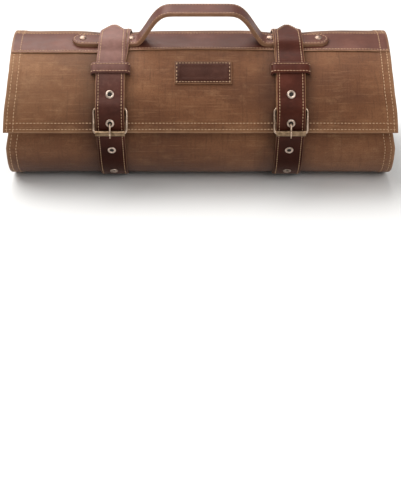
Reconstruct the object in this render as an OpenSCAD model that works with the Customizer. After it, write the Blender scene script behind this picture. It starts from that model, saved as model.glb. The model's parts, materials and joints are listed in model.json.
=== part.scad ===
// Carving tool roll, closed and buckled, standing on its flat base with the handle up.
// X runs along the roll, -Y faces the front with the buckles, Z is up.
// The rolled sheet is followed from the flap's hem (panel 0) round the top, the back, the base
// and the front, then on inside the flap to its inner end (panel 12).

/* [Rolled sheet] */
// length of the roll along X
roll_l = 445; // [360:1:520]
// outer radius of the roll over the top, from hem to back
top_r = 89; // [84:0.5:96]
// radius of the lower back corner
back_r = 63; // [58:0.5:70]
// radius of the lower front corner
front_r = 55; // [50:0.5:60]
// outer radius of the inner lap
inner_r = 67; // [62:0.5:69]
// step from the flap's outer face in to the lap below it
lap = 10; // [9:0.1:12]
// thickness of waxed canvas and lining
shell_t = 2.2; // [1.6:0.1:2.6]
// thickness of the second layer that makes the zipped pockets
facing_t = 1.4; // [1:0.1:1.8]
// width of the turned hems along both ends
hem_w = 10; // [8:0.5:14]
// extra thickness of a turned hem
hem_t = 0.8; // [0.4:0.1:1]
// gap between neighbouring panels of the sheet
seam_gap = 0.3; // [0.2:0.05:0.5]

/* [Panel bends] */
// angle of the flap's hem above the horizontal at the front
hem_a = 9; // [6:0.5:12]
// first bend of the flap
flap1_a = 40; // [38:0.5:42]
// second bend of the flap, below the leather band
flap2_a = 67; // [66:0.5:68]
// third bend of the flap, behind the leather band
flap3_a = 103; // [102:0.5:105]
// bend half way down the back
back1_a = 141; // [138:0.5:144]
// bend in the lower front corner
front1_a = 320; // [316:0.5:324]
// bend of each panel of the inner lap
inner_step = 52; // [48:0.5:54]

/* [Pockets and cover] */
// length of a tool pocket along X
pocket_l = 116; // [90:1:140]
// distance of the pockets' feet from the end of the roll
pocket_in = 17.5; // [14:0.5:24]
// room inside a pocket
pocket_gap = 10; // [9:0.5:11]
// thickness of pocket and cover canvas
cloth_t = 1.6; // [1.2:0.1:2]
// share of a panel left free on each side of a pocket
pocket_side = 0.1; // [0.06:0.01:0.16]
// free length of the cover that folds over the tools
cover_l = 250; // [200:1:260]
// distance of the cover's sewn edge from the end of the roll
cover_in = 12.5; // [11:0.5:20]
// room under the cover
cover_gap = 9.8; // [9:0.1:11]

/* [Leather] */
// width of the sewn straps that carry the buckles
strap_w = 33; // [30:0.5:33]
// thickness of strap and tail leather
strap_t = 2.8; // [2.4:0.1:3]
// distance of each strap from the middle of the roll
strap_x = 100.5; // [98:0.5:106]
// width of the pointed tails
tail_w = 31.6; // [28:0.2:32]
// length of the pointed end of the tails
point_l = 19; // [17:0.5:24]
// how far the stiff tip of a tail stands out behind the handle's tabs
tip_l = 14; // [8:0.5:16]
// gap between a tail and the strap it lies on
lay_gap = 0.15; // [0.12:0.01:0.25]
// front and rear edge of the leather band along the top
band_a0 = 72; // [71.5:0.5:74]
// rear edge of the leather band
band_a1 = 98; // [97:0.5:98.5]
// thickness of the band
band_t = 1.6; // [1.2:0.1:2]
// width of the bare leather patch
patch_w = 64; // [50:1:80]
// middle of the patch along X
patch_x = 3; // [-5:0.5:8]
// thickness of the patch
patch_t = 1.4; // [1:0.1:1.8]
// lower edge of the patch
patch_a0 = 44; // [43:0.5:46]
// upper edge of the patch
patch_a1 = 62; // [58:0.5:65]
// lower edge of the keepers
keep_a0 = 51; // [48:0.5:53]
// upper edge of the keepers
keep_a1 = 59; // [57:0.5:62]
// outer width of a keeper
keep_w = 44; // [42:0.5:48]
// thickness of keeper leather
keep_t = 2; // [1.6:0.1:2.4]
// lower end of the sewn part of the tails
billet_a0 = 292; // [290:0.5:298]
// where the loose part of the tails begins
billet_a1 = 312; // [308:0.5:314]
// end of the straps behind the band
strap_end_a = 122; // [116:0.5:130]

/* [Handle] */
// outer end of the handle's sewn tabs
tab_x1 = 146; // [142:0.5:152]
// inner end of the handle's sewn tabs
tab_x0 = 74; // [72:0.5:75]
// front edge of the tabs on the band
tab_a0 = 77; // [76:0.5:78]
// rear edge of the tabs on the band
tab_a1 = 91; // [90:0.5:92]
// thickness of tabs and grip
tab_t = 4.4; // [3.6:0.1:4.8]
// width of the grip
grip_w = 24; // [22:0.5:26]
// rise of the grip's top over the band
grip_rise = 41.5; // [36:0.5:46]
// half length of the flat top of the grip
grip_flat = 30; // [26:0.5:36]
// room under the turning feet of the grip
foot_gap = 0.5; // [0.3:0.1:1]
// outer rivets from the middle of the roll
rivet_x1 = 134; // [130:0.5:136]
// inner rivets from the middle of the roll
rivet_x0 = 79; // [78.5:0.1:79.5]
// radius of the rivet heads
rivet_r = 3.6; // [3:0.1:3.8]
// radius of the rivet shanks
shank_r = 1.6; // [1.2:0.1:1.8]

/* [Buckles] */
// outer width of the buckle frames
frame_w = 39.6; // [38.6:0.1:42]
// radius of the frame wire
wire_r = 1.4; // [1.2:0.05:1.5]
// radius of the rollers
roller_r = 3.1; // [2.8:0.05:3.4]
// length of the rollers
roller_l = 33; // [30:0.5:33]
// running gap of rollers, loops and prongs round their bars
run_gap = 0.3; // [0.2:0.05:0.4]
// place of the heel bars on the flap
heel_a = 27; // [26.5:0.1:27.5]
// place of the rollers on the flap
front_a = 10.2; // [10:0.1:10.6]
// radius of the prong wire
prong_r = 1.1; // [1:0.05:1.2]
// width of the prong's eye
eye_w = 3.2; // [2.8:0.1:3.6]
// leather thickness of the loop round the heel bar
loop_t = 1.2; // [1:0.05:1.3]
// distance from the buckled eyelet up to the highest one
eyelet_up = 32; // [31:0.5:34]
// distance between the lower eyelets along the tails
eyelet_pitch = 38; // [36:0.5:39]
// outer radius of an eyelet
eyelet_r = 4.9; // [4.4:0.1:5.2]
// radius of the hole in an eyelet
hole_r = 2.4; // [2.3:0.05:2.6]
// thickness of the metal of an eyelet
eyelet_t = 0.5; // [0.4:0.05:0.6]

/* [Zips] */
// length of each zip
zip_l = 360; // [280:1:380]
// width of the slot and tape of a zip
zip_w = 11; // [9:0.5:13]
// width of the row of teeth
teeth_w = 4; // [3.4:0.1:4.6]
// height of the row of teeth
teeth_h = 1.6; // [1.2:0.1:1.8]
// angle from the handle's rivets forward to the flap's zip
zip_off = 8; // [7.5:0.5:9]
// place of the zip on the inner end
zip_end_a = 432; // [428:0.5:436]
// length of a slider
slider_l = 12; // [10:0.5:14]
// length of a pull
pull_l = 22; // [18:0.5:24]

/* [Hidden] */
$fn = 48;
cells = 8;
base_k = 7;
tiny = 0.001;
half_l = roll_l / 2;
c_top = [0, back_r];
c_back = [top_r - back_r, back_r];
c_front = [-(top_r - lap - front_r), front_r];
c_in = [c_front[0] - front_r + inner_r, front_r];
bound = [hem_a, flap1_a, flap2_a, flap3_a, back1_a, 180, 225, 270, 270, front1_a, 360,
    360 + inner_step, 360 + 2 * inner_step, 360 + 3 * inner_step];
function mix(a, b, t) = a + (b - a) * t;
function nrm(a) = [-cos(a), sin(a)];
function centre(k) = k < 5 ? c_top : k < base_k ? c_back : k < 10 ? c_front : c_in;
function radius(k) = k < 5 ? top_r : k < base_k ? back_r : k < 10 ? front_r : inner_r;
function spot(k, a, h) = centre(k) + (radius(k) + h) * nrm(a);
function edge(k, f, h) = k == base_k
    ? [mix(c_back[0], c_front[0], f), -h]
    : spot(k, mix(bound[k], bound[k + 1], f), h);
function panel_l(k) = k == base_k
    ? c_back[0] - c_front[0]
    : radius(k) * (bound[k + 1] - bound[k]) * PI / 180;
// point of the sheet at place u along it (panel number and share of the panel), h out of its face
function point(u, h) = let(k = min(floor(u + tiny / cells), 12), g = (u - k) * cells,
    i = min(max(floor(g), 0), cells - 1))
    mix(edge(k, i / cells, h), edge(k, (i + 1) / cells, h), g - i);
function along(k, a) = k + (a - bound[k]) / (bound[k + 1] - bound[k]);
function places(u0, u1) = concat([u0],
    [for (i = [floor(u0 * cells + tiny) + 1 : ceil(u1 * cells - tiny) - 1]) i / cells], [u1]);
function turned(v) = [for (i = [len(v) - 1 : -1 : 0]) v[i]];
function layer(us, h0, h1) = concat([for (u = us) point(u, h1)], [for (u = turned(us)) point(u, h0)]);
function unit(v) = v / norm(v);
function side(v) = [-v[1], v[0]];
// outward normals of a path that climbs the front of the roll
function path_n(p) = [for (i = [0 : len(p) - 1])
    side(unit(p[min(i + 1, len(p) - 1)] - p[max(i - 1, 0)]))];
function ribbon(p, t) = let(n = path_n(p))
    concat([for (i = [0 : len(p) - 1]) p[i] + t * n[i]], turned(p));
gap_u = [for (k = [0 : 12]) seam_gap / 2 / panel_l(k)];

// height of the buckle strap over the flap, as it climbs over band and handle tab
tab_top = band_t + tab_t;
ramp_a = 2.6;
climb = [[band_a0 - ramp_a, lay_gap / 2], [band_a0, band_t + lay_gap], [tab_a0, tab_top + lay_gap],
    [tab_a1, tab_top + lay_gap], [band_a1, band_t + 2 * lay_gap], [flap3_a - tiny, lay_gap / 2]];
function climb_h(a) = lookup(a, climb);
function climb_stops(a0, a1) = concat([a0], [for (c = climb) if (c[0] > a0 + 1 && c[0] < a1 - 1) c[0]],
    [a1]);
// the same stops with each stretch between them cut in four
function climb_as(a0, a1) = let(v = climb_stops(a0, a1))
    concat([for (i = [0 : len(v) - 2], j = [0 : 3]) mix(v[i], v[i + 1], j / 4)], [a1]);
function arc_as(a0, a1, n) = [for (i = [0 : n]) mix(a0, a1, i / n)];

// buckle places in the section
loop_r = wire_r + run_gap + loop_t;
heel_h = loop_r + run_gap;
heel_p = spot(0, heel_a, heel_h);
dip_h = 2.2;
dip_a = 11;
crest_h = 2 * loop_r + 2 * run_gap;
crest_a = 23.5;
strap_a0 = 31;
land_a = 34;
lie_h = strap_t + 2 * lay_gap;
front_h = dip_h + strap_t + run_gap + roller_r;
front_p = spot(0, front_a, front_h);
split_a = 64;
dip_p = spot(0, dip_a, dip_h);
crest_p = spot(0, crest_a, crest_h);
// the tail leaves the lower front corner along a tangent towards the hem
tail_r = front_r + lay_gap;
tail_d = dip_p - c_front;
leave_a = 360 + atan2(tail_d[1], -tail_d[0]) - acos(tail_r / norm(tail_d));
leave_p = c_front + tail_r * nrm(leave_a);
// it is divided on the straight stretch below the roller, just past the eyelet there
prong_s = 9.6;
hole_s = prong_s;
line_l = norm(dip_p - leave_p);
low_s = line_l - (eyelet_pitch - hole_s);
part_s = low_s + 1.4 * eyelet_r;
function line_at(s) = mix(leave_p, dip_p, s / line_l);
tail_1_path = concat([for (a = arc_as(billet_a1 + 0.3, leave_a, 8)) c_front + tail_r * nrm(a)],
    [line_at(part_s)]);
tail_2_path = concat([line_at(part_s + seam_gap), dip_p, crest_p, spot(0, heel_a + 1.5, crest_h)],
    [for (a = arc_as(land_a, split_a, 10)) spot(0, a, lie_h)]);
tail_3_as = concat([split_a + 0.2], climb_as(split_a + 2, tab_a1));
end_p = spot(0, tab_a1, climb_h(tab_a1) + lie_h + lay_gap) + tip_l * [sin(tab_a1), cos(tab_a1)];
tail_3_path = concat([for (a = tail_3_as) spot(0, a, climb_h(a) + lie_h + lay_gap)], [end_p]);
// plan of the pointed end: two sides that curve in to a blunt nose
nose = point_l / 20;
taper = 0.75;
function arch_x(d) = tail_w / 2 * pow(d / point_l, taper);
arch_ds = [for (i = [0 : cells]) mix(nose, point_l, i * i / (cells * cells))];
tip_plan = concat([for (d = arch_ds) [arch_x(d), -d]],
    [[tail_w / 2, -4 * tail_w], [-tail_w / 2, -4 * tail_w]],
    [for (d = turned(arch_ds)) [-arch_x(d), -d]]);

// eyelet places: outer face of the tail and its outward angle
function face_at(p0, p1, s, t) = let(d = unit(p1 - p0), n = side(d))
    [p0 + d * s + n * t, atan2(n[1], -n[0])];
low_a = leave_a - (eyelet_pitch - low_s) / tail_r * 180 / PI;
high_a = dip_a + 6 + eyelet_up / (top_r + lie_h + strap_t) * 180 / PI;
eyelet_2 = face_at(dip_p, crest_p, hole_s, 0);
eyelet_3 = face_at(leave_p, dip_p, low_s, 0);
eyelet_4 = [c_front + tail_r * nrm(low_a), low_a];
eyelet_1 = [spot(0, high_a, lie_h), high_a];

// the flap's zip lies inside, in front of the rivets
zip_a = (tab_a0 + tab_a1) / 2 - zip_off;
// zip layers, counted inward from the sheet's outer face
zip_h0 = shell_t;
zip_h1 = shell_t + facing_t;
zip_h2 = zip_h1 + teeth_h;
slide_gap = 0.3;
cheek_t = 1.6;
plate_t = 1.6;
slider_h0 = zip_h1 + slide_gap;
slider_h1 = zip_h2 + slide_gap + plate_t;
pin_r = 0.8;
pull_r = pin_r + run_gap + 0.7;
pin_h = slider_h1 + pull_r + run_gap;
pull_w = 3.4;
tab_w = 7;
lug_t = 1.2;
lug_y = pull_w / 2 + run_gap;

// a flat outline in Y and Z drawn out along X
module slab(p, x0, x1) {
    translate([x0, 0, 0]) rotate([90, 0, 90]) linear_extrude(height = x1 - x0) polygon(p);
}
module strip(u0, u1, h0, h1, x0, x1) {
    slab(layer(places(u0, u1), h0, h1), x0, x1);
}
// puts its children on the sheet: local x along the roll, y round it, z outward
module on_sheet(p, a) {
    translate([0, p[0], p[1]]) rotate([90 - a, 0, 0]) children();
}
module bar_x(x0, x1, r) {
    translate([x0, 0, 0]) rotate([0, 90, 0]) cylinder(h = x1 - x0, r = r);
}
module both_sides() {
    for (s = [-1, 1]) translate([s * strap_x, 0, 0]) children();
}
module all_shift() {
    translate([0, shift_y, 0]) children();
}
// the buckles stand out in front, so the whole is moved back to stand over its own middle
prong_out = front_h + roller_r + run_gap + 2 * prong_r;
reach = -(spot(0, front_a, prong_out)[0]);
shift_y = (reach - top_r) / 2;

// one panel of the rolled sheet with its turned hems
module panel(k) {
    t = (k < 2 || k == 12) ? shell_t + facing_t : shell_t;
    u0 = k == 0 ? 0 : k + gap_u[k];
    u1 = k == 12 ? 13 : k + 1 - gap_u[k];
    color("#7a563a") all_shift() difference() {
        union() {
            strip(u0, u1, -t, 0, -half_l, half_l);
            if (k != 2 && k != 11) for (s = [-1, 1]) translate([s * (half_l - hem_w / 2), 0, 0])
                strip(u0, u1, -t - hem_t, -t, -hem_w / 2, hem_w / 2);
        }
        if (k == 2) rivet_holes();
    }
}
module rivet_holes() {
    for (s = [-1, 1], x = [rivet_x0, rivet_x1]) translate([s * x, 0, 0])
        on_sheet(spot(2, (tab_a0 + tab_a1) / 2, 0), (tab_a0 + tab_a1) / 2)
            translate([0, 0, -zip_h2]) cylinder(h = zip_h2 + 2 * tab_top, r = shank_r + lay_gap / 2);
}

// second layer of canvas with the slot for a zip
module facing(k, a) {
    uz = along(k, a);
    du = (zip_w / 2 + lay_gap) / panel_l(k);
    u0 = k + gap_u[k];
    u1 = k + 1 - gap_u[k];
    color("#744a2c") all_shift() difference() {
        union() {
            strip(u0, uz - du, -zip_h1, -zip_h0, -half_l, half_l);
            strip(uz + du, u1, -zip_h1, -zip_h0, -half_l, half_l);
            for (s = [-1, 1]) translate([s * (half_l + zip_l / 2) / 2, 0, 0])
                strip(uz - du, uz + du, -zip_h1, -zip_h0, -(half_l - zip_l / 2) / 2 + lay_gap,
                    (half_l - zip_l / 2) / 2 - lay_gap);
        }
        if (k == 2) rivet_holes();
    }
}

// zip tape with its row of closed teeth
module chain(k, a) {
    uz = along(k, a);
    du = zip_w / 2 / panel_l(k);
    dt = teeth_w / 2 / panel_l(k);
    color("#8a8578") all_shift() {
        strip(uz - du, uz + du, -zip_h1, -zip_h0, -zip_l / 2 + lay_gap, zip_l / 2 - lay_gap);
        strip(uz - dt, uz + dt, -zip_h2, -zip_h1, -zip_l / 2 + lay_gap, zip_l / 2 - lay_gap);
    }
}

// slider astride the teeth, with two lugs that carry the pin of the pull; dir is its closed end
module slider(k, a, dir) {
    inner = teeth_w / 2 + slide_gap;
    color("#a08a58") all_shift() translate([dir * (zip_l / 2 - slider_l), 0, 0])
        on_sheet(spot(k, a, 0), a) {
            translate([-slider_l / 2, -inner - cheek_t, -slider_h1])
                cube([slider_l, 2 * (inner + cheek_t), plate_t]);
            for (s = [-1, 1]) {
                translate([-slider_l / 2, s * (inner + cheek_t / 2) - cheek_t / 2, -slider_h1])
                    cube([slider_l, cheek_t, slider_h1 - slider_h0]);
                translate([0, s * (lug_y + lug_t / 2), -pin_h]) rotate([90, 0, 0])
                    cylinder(h = lug_t, r = pull_r, center = true);
                translate([-pull_r, s * (lug_y + lug_t / 2) - lug_t / 2, -pin_h])
                    cube([2 * pull_r, lug_t, pin_h - slider_h1 + plate_t / 2]);
            }
            translate([0, 0, -pin_h]) rotate([90, 0, 0])
                cylinder(h = 2 * lug_y + lug_t, r = pin_r, center = true);
        }
}

// pull tab hung on the slider's pin, lying along the teeth towards the middle of the roll
module pull(k, a, dir) {
    color("#a08a58") all_shift() translate([dir * (zip_l / 2 - slider_l), 0, 0])
        on_sheet(spot(k, a, 0), a) translate([0, 0, -pin_h]) difference() {
            union() {
                rotate([90, 0, 0]) cylinder(h = pull_w, r = pull_r, center = true);
                translate([dir > 0 ? -slider_l / 2 - run_gap : 0, -pull_w / 2, -pull_r])
                    cube([slider_l / 2 + run_gap, pull_w, plate_t]);
                translate([dir > 0 ? -pull_l : slider_l / 2, -tab_w / 2, -pull_r])
                    cube([pull_l - slider_l / 2, tab_w, plate_t]);
            }
            rotate([90, 0, 0]) cylinder(h = 2 * pull_w, r = pin_r + run_gap, center = true);
        }
}

// sewn strap under the tail: the end that folds round the heel bar of the buckle
module strap_1() {
    color("#4a2420") all_shift() both_sides() difference() {
        union() {
            strip(along(0, strap_a0), 1 - gap_u[0], lay_gap / 2, strap_t, -strap_w / 2, strap_w / 2);
            strip(along(0, heel_a), along(0, strap_a0), loop_t, strap_t, -strap_w / 2, strap_w / 2);
            on_sheet(heel_p, heel_a) bar_x(-strap_w / 2, strap_w / 2, loop_r);
        }
        on_sheet(heel_p, heel_a) {
            bar_x(-strap_w, strap_w, wire_r + run_gap);
            translate([-eye_w / 2 - run_gap, -3 * loop_r, -2 * loop_r])
                cube([eye_w + 2 * run_gap, 5 * loop_r, 4 * loop_r]);
        }
    }
}
module strap_2() {
    color("#4a2420") all_shift() both_sides()
        strip(1 + gap_u[1], 2 - gap_u[1], lay_gap / 2, strap_t, -strap_w / 2, strap_w / 2);
}
// the part that climbs over the band and the handle's tab
module strap_3() {
    as = climb_as(flap2_a + seam_gap, flap3_a - seam_gap);
    color("#4a2420") all_shift() both_sides()
        slab(concat([for (a = as) spot(2, a, climb_h(a) + strap_t)],
            [for (a = turned(as)) spot(2, a, climb_h(a))]), -strap_w / 2, strap_w / 2);
}
module strap_4() {
    color("#4a2420") all_shift() both_sides()
        strip(3 + gap_u[3], along(3, strap_end_a), lay_gap / 2, strap_t, -strap_w / 2, strap_w / 2);
}

// foot of the tails, sewn to the lower front corner
module billet() {
    color("#4a2420") all_shift() both_sides()
        strip(along(8, billet_a0), along(8, billet_a1), lay_gap / 2, strap_t, -tail_w / 2, tail_w / 2);
}
module eyelet_cut(e) {
    on_sheet(e[0], e[1]) cylinder(h = 4 * strap_t, r = hole_r + eyelet_t + lay_gap / 3, center = true);
}
// metal ring set through the tail, flush inside, with a flange on the outer face
flange_gap = 0.3;
module eyelet(e) {
    on_sheet(e[0], e[1]) rotate_extrude() {
        translate([hole_r, 0]) square([eyelet_t, strap_t + flange_gap + eyelet_t]);
        translate([hole_r, strap_t + flange_gap]) square([eyelet_r - hole_r, eyelet_t]);
    }
}
module tail_1() {
    color("#55302a") all_shift() both_sides() difference() {
        slab(ribbon(tail_1_path, strap_t), -tail_w / 2, tail_w / 2);
        eyelet_cut(eyelet_3);
        eyelet_cut(eyelet_4);
    }
}
module tail_2() {
    color("#55302a") all_shift() both_sides() difference() {
        slab(ribbon(tail_2_path, strap_t), -tail_w / 2, tail_w / 2);
        eyelet_cut(eyelet_2);
        eyelet_cut(eyelet_1);
    }
}
// free end of the tail with its point
module tail_3() {
    color("#55302a") all_shift() both_sides() intersection() {
        slab(ribbon(tail_3_path, strap_t), -tail_w / 2, tail_w / 2);
        translate([0, end_p[0] + nose - lay_gap, end_p[1] - 3 * tail_w])
            linear_extrude(height = 6 * tail_w) polygon(tip_plan);
    }
}
module eyelets_low() {
    color("#d8c4ae") all_shift() both_sides() {
        eyelet(eyelet_3);
        eyelet(eyelet_4);
    }
}
module eyelets_high() {
    color("#d8c4ae") all_shift() both_sides() {
        eyelet(eyelet_2);
        eyelet(eyelet_1);
    }
}

// round bar in the section plane between two points
module strut(p0, p1, r) {
    d = p1 - p0;
    translate([0, p0[0], p0[1]]) rotate([atan2(-d[0], d[1]), 0, 0]) cylinder(h = norm(d), r = r);
}
// wire frame: heel bar in the strap's loop, two sides and the front bar in the roller
module buckle(s) {
    bx = frame_w / 2 - wire_r;
    side_r = wire_r * 0.92;
    color("#b59a62") all_shift() translate([s * strap_x, 0, 0]) {
        on_sheet(heel_p, heel_a) bar_x(-frame_w / 2, frame_w / 2, wire_r);
        on_sheet(front_p, front_a) bar_x(-frame_w / 2, frame_w / 2, wire_r);
        for (e = [-1, 1]) translate([e * bx, 0, 0]) strut(heel_p, front_p, side_r);
    }
}
module roller_bar(s) {
    color("#d9c3a0") all_shift() translate([s * strap_x, 0, 0]) on_sheet(front_p, front_a)
        difference() {
            bar_x(-roller_l / 2, roller_l / 2, roller_r);
            bar_x(-roller_l, roller_l, wire_r + run_gap);
        }
}
// prong: an eye on the heel bar, a shank below the tail, up through the eyelet and on the roller
under_h = heel_h + prong_r / 4;
rise_p = face_at(dip_p, crest_p, hole_s + 0.6, -prong_r - run_gap)[0];
over_p = face_at(dip_p, crest_p, hole_s - 0.9, strap_t + 2 * prong_r + run_gap)[0];
rest_p = spot(0, front_a + 0.4, front_h + roller_r + run_gap + prong_r);
tip_p = spot(0, front_a - 2.6, front_h + roller_r + run_gap / 2);
prong_way = [heel_p + (wire_r + run_gap + loop_t / 2) * unit(rise_p - heel_p), rise_p, over_p, rest_p, tip_p];
module prong(s) {
    n = path_n(prong_way);
    ends = len(n) - 1;
    outline = concat([for (i = [0 : ends]) prong_way[i] + prong_r * n[i]],
        turned([for (i = [0 : ends]) prong_way[i] - prong_r * n[i]]));
    color("#b59a62") all_shift() translate([s * strap_x, 0, 0]) difference() {
        union() {
            on_sheet(heel_p, heel_a) bar_x(-eye_w / 2, eye_w / 2, loop_r);
            slab(outline, -prong_r, prong_r);
        }
        on_sheet(heel_p, heel_a) bar_x(-eye_w, eye_w, wire_r + run_gap);
    }
}

// loops of leather that hold the tails down on the straps
module keepers() {
    top_h = lie_h + strap_t + 2 * lay_gap;
    u0 = along(1, keep_a0);
    u1 = along(1, keep_a1);
    color("#4a2420") all_shift() both_sides() {
        strip(u0, u1, top_h, top_h + keep_t, -keep_w / 2, keep_w / 2);
        for (s = [-1, 1]) translate([s * (keep_w - keep_t) / 2, 0, 0])
            strip(u0, u1, lay_gap / 2, top_h, -keep_t / 2, keep_t / 2);
    }
}
module band() {
    color("#6a4238") all_shift() difference() {
        strip(along(2, band_a0), along(2, band_a1), 0, band_t, -half_l + 1, half_l - 1);
        rivet_holes();
    }
}
module patch() {
    color("#6a4238") all_shift()
        strip(along(1, patch_a0), along(1, patch_a1), 0, patch_t, patch_x - patch_w / 2,
            patch_x + patch_w / 2);
}

// sewn ends of the handle, round at their outer ends
module handle_tabs() {
    end_r = (top_r + tab_top) * sin((tab_a1 - tab_a0) / 2);
    color("#55302a") all_shift() difference() {
        for (s = [-1, 1]) intersection() {
            translate([s * (tab_x0 + tab_x1) / 2, 0, 0])
                strip(along(2, tab_a0), along(2, tab_a1), band_t, tab_top, -(tab_x1 - tab_x0) / 2,
                    (tab_x1 - tab_x0) / 2);
            on_sheet(spot(2, (tab_a0 + tab_a1) / 2, 0), (tab_a0 + tab_a1) / 2) scale([s, 1, 1])
                translate([0, 0, -tab_top]) linear_extrude(height = 3 * tab_top) {
                    translate([tab_x1 - end_r, 0]) circle(r = end_r);
                    translate([0, -2 * end_r]) square([tab_x1 - end_r, 4 * end_r]);
                }
        }
        rivet_holes();
    }
}
// grip: a leather arch square to the sheet, that leans on its rounded feet
mid_a = (tab_a0 + tab_a1) / 2;
foot_r = grip_w / 2;
foot_h = band_t + foot_gap + foot_r;
grip_h = band_t + foot_gap + tab_t / 2;
grip_x = tab_x0 - run_gap - lay_gap;
grip_n = 16;
// the legs fall slowly from the flat top and steeply to the feet
leg_pow = 1.5;
function grip_line(x) = let(t = max(0, (abs(x) - grip_flat) / (grip_x - grip_flat)))
    grip_h + (grip_rise - tab_t) * (1 + cos(180 * pow(t, leg_pow))) / 2;
grip_path = concat([for (i = [0 : grip_n]) let(x = -mix(grip_x, grip_flat, i / grip_n)) [x, grip_line(x)]],
    [for (i = [0 : grip_n]) let(x = mix(grip_flat, grip_x, i / grip_n)) [x, grip_line(x)]]);
module handle_grip() {
    n = path_n(grip_path);
    outline = concat([for (i = [0 : len(n) - 1]) grip_path[i] + tab_t / 2 * n[i]],
        turned([for (i = [0 : len(n) - 1]) grip_path[i] - tab_t / 2 * n[i]]));
    color("#6a4238") all_shift() on_sheet(spot(2, mid_a, 0), mid_a) intersection() {
        translate([0, grip_w / 2, 0]) rotate([90, 0, 0]) linear_extrude(height = grip_w) polygon(outline);
        union() {
            translate([0, 0, foot_h]) bar_x(-grip_x, grip_x, foot_r);
            translate([-grip_x, -foot_r, foot_h]) cube([2 * grip_x, grip_w, 2 * grip_rise]);
        }
    }
}
// rivets through tab, band and both layers of canvas, with a washer inside
module rivets() {
    washer_t = 0.8;
    washer_h = zip_h1 + rivet_r * rivet_r / (top_r - zip_h1);
    color("#b59a62") all_shift() for (s = [-1, 1], x = [rivet_x0, rivet_x1]) translate([s * x, 0, 0])
        on_sheet(spot(2, mid_a, 0), mid_a) {
            translate([0, 0, tab_top]) cylinder(h = washer_t, r1 = rivet_r, r2 = rivet_r * 0.8);
            translate([0, 0, -washer_h - washer_t]) cylinder(h = washer_h + washer_t + tab_top, r = shank_r);
            translate([0, 0, -washer_h - washer_t]) cylinder(h = washer_t, r = rivet_r * 0.8);
        }
}

// tool pocket: a standing front, two sides and a foot, open towards +X
module pocket(k) {
    h0 = shell_t;
    h1 = shell_t + pocket_gap;
    h2 = h1 + cloth_t;
    u0 = k + pocket_side;
    u1 = k + 1 - pocket_side;
    du = cloth_t / panel_l(k);
    x0 = -half_l + pocket_in;
    color("#8a6440") all_shift() {
        strip(u0, u1, -h2, -h1, x0, x0 + pocket_l);
        strip(u0, u0 + du, -h1, -h0, x0, x0 + pocket_l);
        strip(u1 - du, u1, -h1, -h0, x0, x0 + pocket_l);
        strip(u0 + du, u1 - du, -h1, -h0, x0, x0 + cloth_t);
    }
}
// one width of the loose cover that folds in over the tools from the +X end
module cover(k) {
    h0 = shell_t;
    h1 = shell_t + cover_gap;
    u0 = k + gap_u[k];
    u1 = k + 1 - gap_u[k];
    x1 = half_l - cover_in;
    color("#744a2c") all_shift() {
        strip(u0, u1, -h1 - cloth_t, -h1, x1 - cover_l, x1);
        strip(u0, u1, -h1, -h0, x1 - cloth_t, x1);
    }
}

panel(0);  // flap_panel_1
panel(1);  // flap_panel_2
panel(2);  // flap_panel_3
panel(3);  // body_panel_1
panel(4);  // body_panel_2
panel(5);  // body_panel_3
panel(6);  // body_panel_4
panel(7);  // body_panel_5
panel(8);  // body_panel_6
panel(9);  // body_panel_7
panel(10);  // body_panel_8
panel(11);  // end_panel_1
panel(12);  // end_panel_2
facing(2, zip_a);  // zip_facing_flap
facing(11, zip_end_a);  // zip_facing_end
chain(2, zip_a);  // zip_chain_flap
chain(11, zip_end_a);  // zip_chain_end
slider(2, zip_a, 1);  // slider_flap
slider(11, zip_end_a, -1);  // slider_end
pull(2, zip_a, 1);  // pull_flap
pull(11, zip_end_a, -1);  // pull_end
strap_1();
strap_2();
strap_3();
strap_4();
billet();
tail_1();
tail_2();
tail_3();
eyelets_low();
eyelets_high();
buckle(-1);  // buckle_l
buckle(1);  // buckle_r
roller_bar(-1);  // roller_bar_l
roller_bar(1);  // roller_bar_r
prong(-1);  // prong_l
prong(1);  // prong_r
keepers();
band();
patch();
handle_tabs();
handle_grip();
rivets();
pocket(3);  // pocket_1
pocket(4);  // pocket_2
pocket(5);  // pocket_3
pocket(6);  // pocket_4
pocket(7);  // pocket_5
pocket(8);  // pocket_6
pocket(9);  // pocket_7
pocket(10);  // pocket_8
cover(3);  // cover_1
cover(4);  // cover_2
cover(5);  // cover_3
cover(6);  // cover_4
cover(7);  // cover_5
cover(8);  // cover_6
cover(9);  // cover_7
cover(10);  // cover_8
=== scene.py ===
import json
import math

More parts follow.
